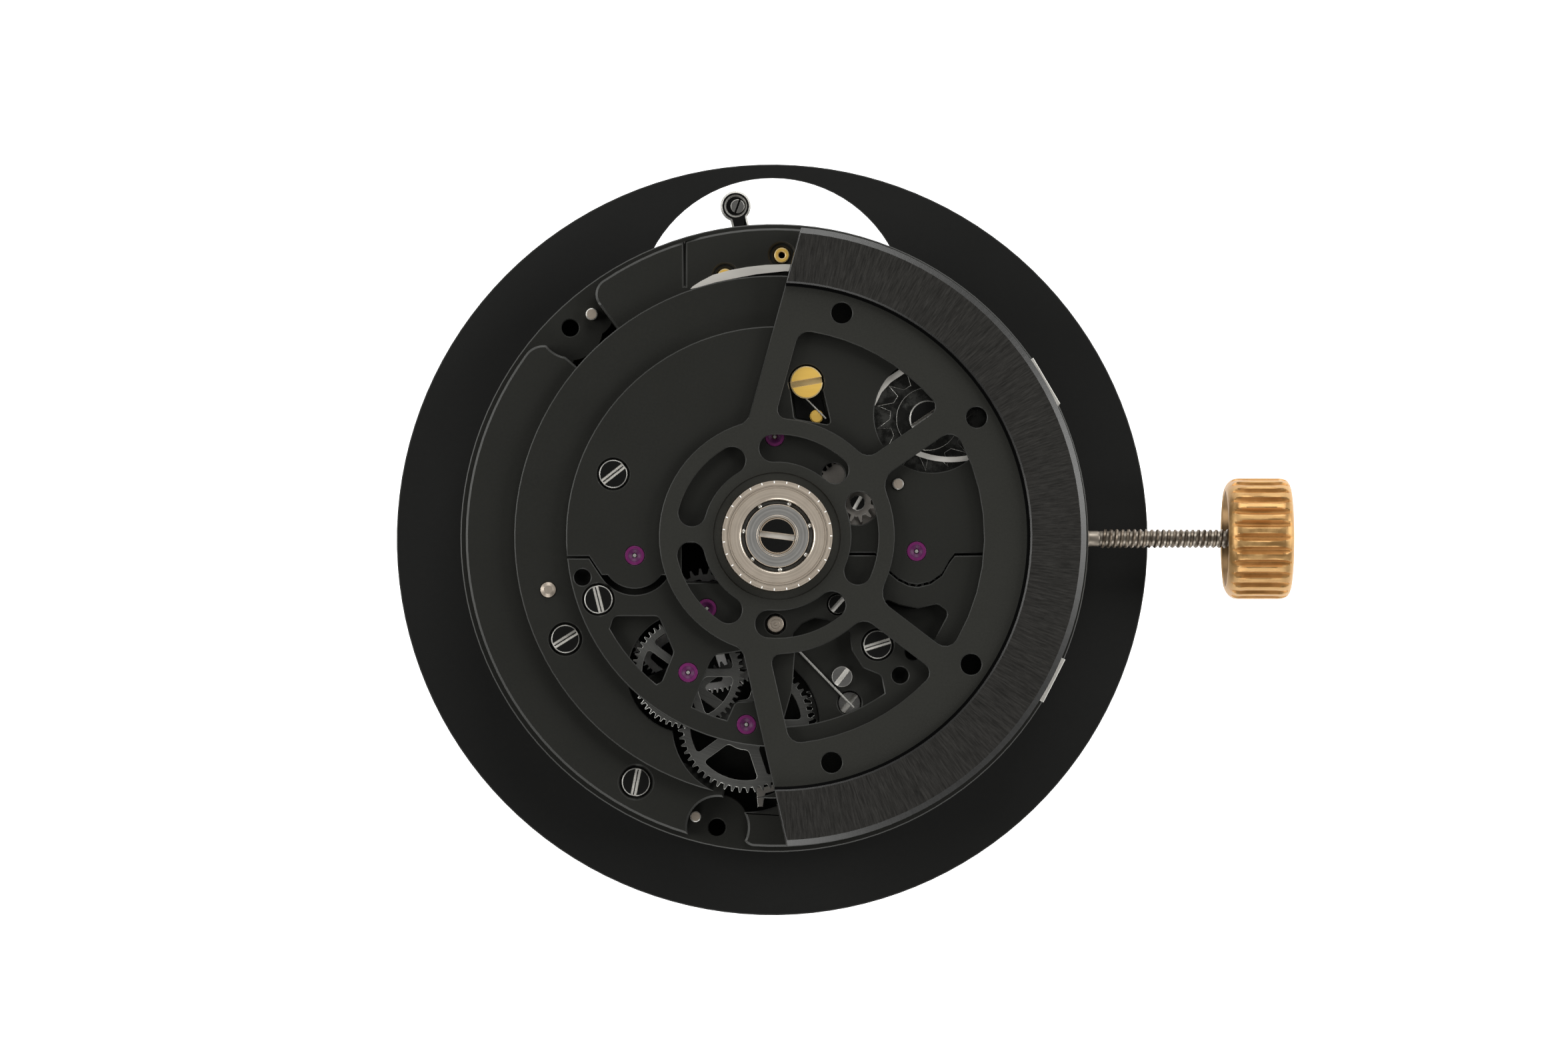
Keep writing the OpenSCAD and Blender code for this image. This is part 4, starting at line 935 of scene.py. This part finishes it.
class MOVEMENT_OT_bearing(bpy.types.Operator):
    """Turn the ball bearing's rings, and set its balls and its screw"""

    bl_idname = "movement.bearing"
    bl_label = "Ball Bearing"

    def turned_ring(self, name, profile, steel, body):
        """A closed ring whose level faces are turned steel and whose others take a painted highlight.
        """
        steps, level = 128, 0.9
        bm = bmesh.new()
        lathe(bm, profile, steps, closed=True)
        bm.normal_update()
        for face in bm.faces:
            if abs(face.normal.z) < level:
                face.material_index = 1
        finished(name, bm, (steel, bearing_edge_highlight()), body, sharp=20)

    def execute(self, context):
        paint("bearing_outer_ring", bearing_steel())
        paint("rotor_post", inner_ring_steel())
        paint("bearing_cage", gear_steel())
        self.turned_ring("bearing_outer_face", [
            (2.61, 6.44), (2.61, 6.50), (2.57, 6.55), (2.42, 6.565), (2.40, 6.47), (2.35, 6.47),
            (2.33, 6.575), (2.30, 6.575), (2.28, 6.47), (2.24, 6.47), (2.22, 6.58), (1.79, 6.58),
            (1.74, 6.54), (1.74, 6.44)], bearing_steel(), "rotor")
        self.turned_ring("bearing_inner_face", [
            (1.505, 6.40), (1.505, 6.48), (1.47, 6.52), (0.99, 6.52), (0.96, 6.55), (0.91, 6.55),
            (0.88, 6.50), (0.88, 6.40)], inner_ring_steel(), "movement")
        self.balls()
        self.notches()
        # the screw's rim takes the same painted warm highlight as the bearing's edges
        fittings("fine_rotor_screw", screw_pattern(0.27, line=False), [spot(0, 0, 6.5, -7, 0.86)],
                 (black_polish(), bearing_edge_highlight(), slot_steel_painted_light()), "movement",
                 ("rotor_screw",))
        return {"FINISHED"}

    def balls(self):
        count, first_turn, ball_radius, track, height = 7, 120.6, 0.115, 1.615, 6.36
        ball = bmesh.new()
        bmesh.ops.create_icosphere(ball, subdivisions=3, radius=ball_radius * MM)
        rest = []
        for k in range(count):
            turn = first_turn + 360 / count * k
            x, y = track * math.cos(math.radians(turn)), track * math.sin(math.radians(turn))
            rest.append(spot(x, y, height, turn))
        fittings("fine_bearing_balls", ball, rest, (bright_rim(),), "ball_cage",
                 ("bearing_balls",))

    def notches(self):
        # painted glints: small near-white boxes along the bearing's notched outer edge
        inner, outer, half, low, high = 2.5, 2.605, 0.022, 6.5, 6.562
        notch = bmesh.new()
        band(notch, [(inner, -half), (outer, -half), (outer, half), (inner, half)], low, high)
        count = sizes().bearing_notches
        fittings("bearing_notches", notch, [spot(0, 0, 0, 360 / count * k) for k in range(count)],
                 (painted_light_white(),), "rotor")


class MOVEMENT_OT_screws(bpy.types.Operator):
    """Set the slotted screws and pins"""

    bl_idname = "movement.screws"
    bl_label = "Screws and Pins"

    def execute(self, context):
        black = (black_polish(), bright_rim(), slot_steel_painted_light())
        silver = (bright_steel(), bright_rim(), slot_steel_painted_light())
        # place of the head's top, turn of the slot and radius of the head
        head = sizes().screw_head / MM
        large = [(-8.46, -3.0, 5.51, 104, head), (4.80, -5.14, 5.51, 17, head),
                 (-7.76, 2.96, 5.51, 38, head), (-10.02, -4.87, 4.91, 32, head),
                 (-6.65, -11.67, 4.26, 79, head)]
        dark = [(2.92, -3.22, 5.40, 48, 0.45), (3.85, 1.6, 5.50, 60, 0.36),
                (7.2, 5.6, 5.56, 34, 0.88)]
        pale = [(3.13, -6.66, 5.15, 52, 0.49), (3.5, -7.9, 4.5, 52, 0.54)]
        for name, pattern, places, coats, slot, replaced in (
            ("fine_bridge_screws", screw_pattern(0.36), large, black, "black_steel",
             "bridge_screws"),
            ("dark_small_screws", screw_pattern(0.42, depth=0.2, line=False), dark, black,
             "black_steel", "small_screws"),
            ("silver_small_screws", screw_pattern(0.4, line=False), pale, silver, "bright_steel",
             "small_screws"),
            ("fine_gold_screw", screw_pattern(0.34, line=False), [(1.42, 7.33, 5.51, 10, 0.77)],
             (gold(), gold_light(), gold_light()), "gold", "gold_screw"),
        ):
            fittings(name, pattern, [spot(*place) for place in places], coats, "movement",
                     (replaced,))
        chamfer = sizes().pin_chamfer
        dressed_copy("gold_bushings", chamfer, (gold(), gold_light()))
        dressed_copy("locating_pins", chamfer, (pin_steel(), bright_rim()))
        paint("wire_spring", bright_rim())
        paint("curved_spring", pale_steel())
        self.window_wire()
        return {"FINISHED"}

    def window_wire(self):
        """The glossy floor, gold pin and fine wire in the window below the gold screw."""
        floor_top, pin_at, wire_radius = 4.9, (1.92, 5.72), 0.04 * MM
        bm = bmesh.new()
        band(bm, [(0.98, 5.68), (2.42, 5.42), (2.08, 6.9), (0.82, 6.9)], 4.86, floor_top)
        finished("window_floor", bm, (black_polish(),), "movement")
        bm = bmesh.new()
        lathe(bm, [(0.32, floor_top), (0.32, 5.12), (0.26, 5.18)], 40, centre=pin_at)
        finished("window_pin", bm, (gold(),), "movement")
        bm = bmesh.new()
        start, end = Vector((1.15, 6.84, 5.08)) * MM, Vector((2.36, 5.62, 5.22)) * MM
        way = (end - start).to_track_quat("Z", "Y").to_matrix().to_4x4()
        bmesh.ops.create_cone(bm, cap_ends=True, segments=16, radius1=wire_radius,
                              radius2=wire_radius, depth=(end - start).length,
                              matrix=Matrix.Translation((start + end) / 2) @ way)
        finished("window_wire", bm, (bright_rim(),), "movement")


class MOVEMENT_OT_jewels(bpy.types.Operator):
    """Set the ruby jewels"""

    bl_idname = "movement.jewels"
    bl_label = "Jewels"

    def execute(self, context):
        height, radius = 5.47, 0.46
        seats = [(-1.43, -8.94), (-4.20, -6.47), (-3.32, -3.44), (-6.74, -0.91), (6.66, -0.70),
                 (-0.09, 4.75)]
        paint("jewels", ruby())
        fittings("jewel_faces", jewel_pattern(),
                 [spot(x, y, height, size=radius) for x, y in seats],
                 (ruby(), ruby_deep(), bright_rim()), "movement")
        return {"FINISHED"}


class MOVEMENT_OT_wheels(bpy.types.Operator):
    """Finish the wheels of the train, the winding and the chronograph"""

    bl_idname = "movement.wheels"
    bl_label = "Wheels"

    def execute(self, context):
        chamfer, axle_ends = sizes().tooth_chamfer, 5.2
        dark = (gear_steel(), gear_edge(), bright_rim())
        for name in ("second_wheel", "third_wheel", "reduction_wheel", "ratchet_wheel"):
            dressed_copy(name, chamfer, dark, axle_ends)
        dressed_copy("reverser_wheel", chamfer, (glossy_gear(), bright_rim()))
        for name in ("transfer_wheel", "coupling_wheel", "click"):
            dressed_copy(name, chamfer, (pale_gear(), bright_rim()))
        # painted light: near-white so that the driving wheel looks lit deep in its shaded gap
        dressed_copy("fourth_wheel", chamfer, (painted_light_white(), bright_rim()))
        for name in ("winding_wheel", "crown_wheel", "column_wheel", "escape_wheel",
                     "pallet_fork", "setting_wheel", "winding_pinion", "sliding_pinion",
                     "cannon_pinion"):
            paint(name, bright_steel())
        paint("barrel", charcoal())
        for name in ("balance_wheel", "chronograph_wheel", "minute_counter_wheel",
                     "minute_wheel", "hour_wheel"):
            paint(name, gilt())
        for name in ("mainspring", "hairspring"):
            paint(name, blued())
        pin_at = (-0.05, -4.17)
        bm = bmesh.new()
        lathe(bm, [(0.385, 5.44), (0.385, 5.50), (0.35, 5.53), (0.27, 5.53), (0.25, 5.51),
                   (0.22, 5.51), (0.20, 5.53), (0.08, 5.53), (0.05, 5.57)], 48, centre=pin_at)
        finished("coupling_pin_face", bm, (pin_steel(),), "coupling_wheel",
                 sharp=20)
        return {"FINISHED"}


class MOVEMENT_OT_levers(bpy.types.Operator):
    """Finish the pusher levers, the corrector lever and the hidden levers"""

    bl_idname = "movement.levers"
    bl_label = "Levers"

    def execute(self, context):
        pusher_chamfer, corrector_chamfer = 0.03 * MM, 0.09 * MM
        for name in ("operating_lever", "reset_lever"):
            dressed_copy(name, pusher_chamfer, (pale_steel(), bright_rim()))
        dressed_copy("corrector_lever", corrector_chamfer, (black_polish(), bright_rim()))
        head_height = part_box("corrector_lever")[1][2] / MM + 0.06
        fittings("corrector_screw", screw_pattern(0.3, line=False),
                 [spot(-1.71, 15.99, head_height, 70, 0.33)],
                 (bright_steel(), bright_rim(), black_polish()), "corrector_lever")
        for name in ("coupling_lever", "hammer", "setting_lever", "yoke"):
            paint(name, bright_steel())
        return {"FINISHED"}


class MOVEMENT_OT_stem_and_crown(bpy.types.Operator):
    """Thread the winding stem and flute the crown"""

    bl_idname = "movement.stem_and_crown"
    bl_label = "Stem and Crown"

    def execute(self, context):
        bm = bmesh.new()
        lathe(bm, [(0.25, 6.4), (0.25, 7.4), (0.32, 7.4), (0.32, 9.5), (0.40, 9.5), (0.40, 11.1),
                   (0.25, 11.1), (0.25, 11.5), (0.42, 11.5), (0.42, 14.7), (0.44, 14.72),
                   (0.48, 14.80), (0.485, 14.87), (0.47, 14.97), (0.40, 15.05), (0.365, 15.08),
                   (0.365, 15.52), (0.34, 15.58), (0.36, 15.62), (0.36, 22.75)], 48,
              centre=(0, STEM_HEIGHT), axis="X")
        finished("fine_stem", bm, (stem_steel(),), "winding_stem", ("stem",))
        holder = bpy.data.objects.new("thread_holder", bpy.data.meshes.new("thread_holder"))
        mesh = made_by(TREES.get("Wound Thread") or thread_tree(), holder, {
            "Pitch": sizes().thread_pitch, "Length": THREAD_LENGTH * MM,
            "Radius": THREAD_RADIUS * MM, "Start": THREAD_START * MM,
            "Height": STEM_HEIGHT * MM, "Ridge": THREAD_RIDGE * MM, "Finish": thread_steel()})
        bm = bmesh.new()
        bm.from_mesh(mesh)
        finished("stem_thread", bm, mesh.materials[:], "winding_stem", sharp=20)
        count = sizes().crown_flutes
        flutes = [((0, 0, STEM_HEIGHT), (360 / count * k, 0, 0), 1) for k in range(count)]
        fittings("fine_crown", crown_pattern(count), flutes,
                 (crown_gold(), crown_ridge(), crown_recess()), "winding_stem",
                 ("crown",), weld=True, sharp=24)
        return {"FINISHED"}


class MOVEMENT_OT_stage(bpy.types.Operator):
    """Lay a pale floor, hang soft lights and place the camera"""

    bl_idname = "movement.stage"
    bl_label = "Stage"

    def execute(self, context):
        scene = context.scene
        scene.view_settings.view_transform = "Standard"
        self.floor(scene)
        self.lights(scene)
        self.camera(scene)
        return {"FINISHED"}

    def floor(self, scene):
        depth = CAD_BOX[0][2] - FLOOR_GAP
        mesh = bpy.data.meshes.new("floor")
        corners = [(-1, -1), (1, -1), (1, 1), (-1, 1)]
        mesh.from_pydata([(x * FLOOR_HALF, y * FLOOR_HALF, depth) for x, y in corners], [],
                         [(0, 1, 2, 3)])
        white = bpy.data.materials.new("pale_floor")
        white.use_nodes = True
        tree = white.node_tree
        shader = tree.nodes["Principled BSDF"]
        for label, value in (
            ("Base Color", (FLOOR_GREY, FLOOR_GREY, FLOOR_GREY, 1)),
            ("Roughness", 0.9),
            ("Emission Color", (1, 1, 1, 1)),
            ("Emission Strength", sizes().floor_white),
        ):
            feed(tree, shader.inputs[label], value)
        # clear from beneath, so that the dial's side can be seen
        side = node(tree, "ShaderNodeNewGeometry").outputs["Backfacing"]
        choice = node(tree, "ShaderNodeMixShader", Fac=side)
        feed(tree, choice.inputs[1], shader.outputs["BSDF"])
        feed(tree, choice.inputs[2], node(tree, "ShaderNodeBsdfTransparent").outputs["BSDF"])
        feed(tree, tree.nodes["Material Output"].inputs["Surface"], choice.outputs["Shader"])
        mesh.materials.append(white)
        floor = bpy.data.objects.new("floor", mesh)
        scene.collection.objects.link(floor)

    def lights(self, scene):
        world = bpy.data.worlds.new("studio")
        world.use_nodes = True
        tree = world.node_tree
        back = tree.nodes["Background"]
        back.inputs["Color"].default_value = (1, 1, 1, 1)
        # pale where the camera sees it, and nearly dark for the parts to mirror
        seen = node(tree, "ShaderNodeLightPath").outputs["Is Camera Ray"]
        level = node(tree, "ShaderNodeMapRange", Value=seen, To_Min=SURROUNDINGS)
        feed(tree, back.inputs["Strength"], level.outputs["Result"])
        scene.world = world
        # direction from the movement and power of each soft light
        panels = {
            "left_panel": ((-1.0, 0.15, 0.55), 1.5),
            "right_panel": ((1.0, 0.2, 0.55), 1.5),
            "far_panel": ((0.1, 1.0, 0.6), 1.3),
            "near_panel": ((-0.1, -1.0, 0.55), 1.1),
        }
        for name, (way, power) in panels.items():
            light = bpy.data.lights.new(name, "AREA")
            light.shape = "SQUARE"
            light.size = LAMP_SIZE
            light.energy = power
            lamp = bpy.data.objects.new(name, light)
            lamp.location = Vector(way).normalized() * LAMP_DISTANCE
            lamp.rotation_euler = Vector(way).to_track_quat("Z", "Y").to_euler()
            scene.collection.objects.link(lamp)

    def camera(self, scene):
        """Looks along the sight line at the point that the photograph's middle shows."""
        from_centre = (PHOTO_SIZE / 2 - ROTOR_CENTRE_PIXEL) * MM_PER_PIXEL * MM
        target = Vector((from_centre.x, -from_centre.y, FOCUS_HEIGHT))
        sight = Vector((SIGHT_SLOPE.x, SIGHT_SLOPE.y, 1)).normalized()
        data = bpy.data.cameras.new("photo_camera")
        data.sensor_width = 36
        data.lens = data.sensor_width * CAMERA_DISTANCE / (PHOTO_SIZE.x * MM_PER_PIXEL * MM)
        data.clip_start = 0.05
        data.clip_end = 20
        camera = bpy.data.objects.new("photo_camera", data)
        side = Vector((0, 1, 0)).cross(sight).normalized()
        up = sight.cross(side)
        turn = Matrix((side, up, sight)).transposed().to_4x4()
        camera.matrix_world = Matrix.Translation(target + sight * CAMERA_DISTANCE) @ turn
        scene.collection.objects.link(camera)
        scene.camera = camera


class MOVEMENT_PT_panel(bpy.types.Panel):
    """Lists the steps that dress the movement"""

    bl_idname = "MOVEMENT_PT_panel"
    bl_label = "Chronograph Movement"
    bl_space_type = "VIEW_3D"
    bl_region_type = "UI"
    bl_category = "Movement"

    def draw(self, context):
        for name in MovementFinish.__annotations__:
            self.layout.prop(context.scene.movement_finish, name)
        for step in STEPS:
            self.layout.operator(step.bl_idname)


STEPS = (
    MOVEMENT_OT_dial_and_plate,
    MOVEMENT_OT_bridges,
    MOVEMENT_OT_rotor,
    MOVEMENT_OT_bearing,
    MOVEMENT_OT_screws,
    MOVEMENT_OT_jewels,
    MOVEMENT_OT_wheels,
    MOVEMENT_OT_levers,
    MOVEMENT_OT_stem_and_crown,
    MOVEMENT_OT_stage,
)
CLASSES = (MovementFinish, *STEPS, MOVEMENT_PT_panel)


def register():
    for made in CLASSES:
        bpy.utils.register_class(made)
    bpy.types.Scene.movement_finish = bpy.props.PointerProperty(type=MovementFinish)


def unregister():
    del bpy.types.Scene.movement_finish
    for made in reversed(CLASSES):
        bpy.utils.unregister_class(made)


def main():
    register()
    for step in STEPS:
        group, name = step.bl_idname.split(".")
        getattr(getattr(bpy.ops, group), name)()


if __name__ == "__main__":
    main()
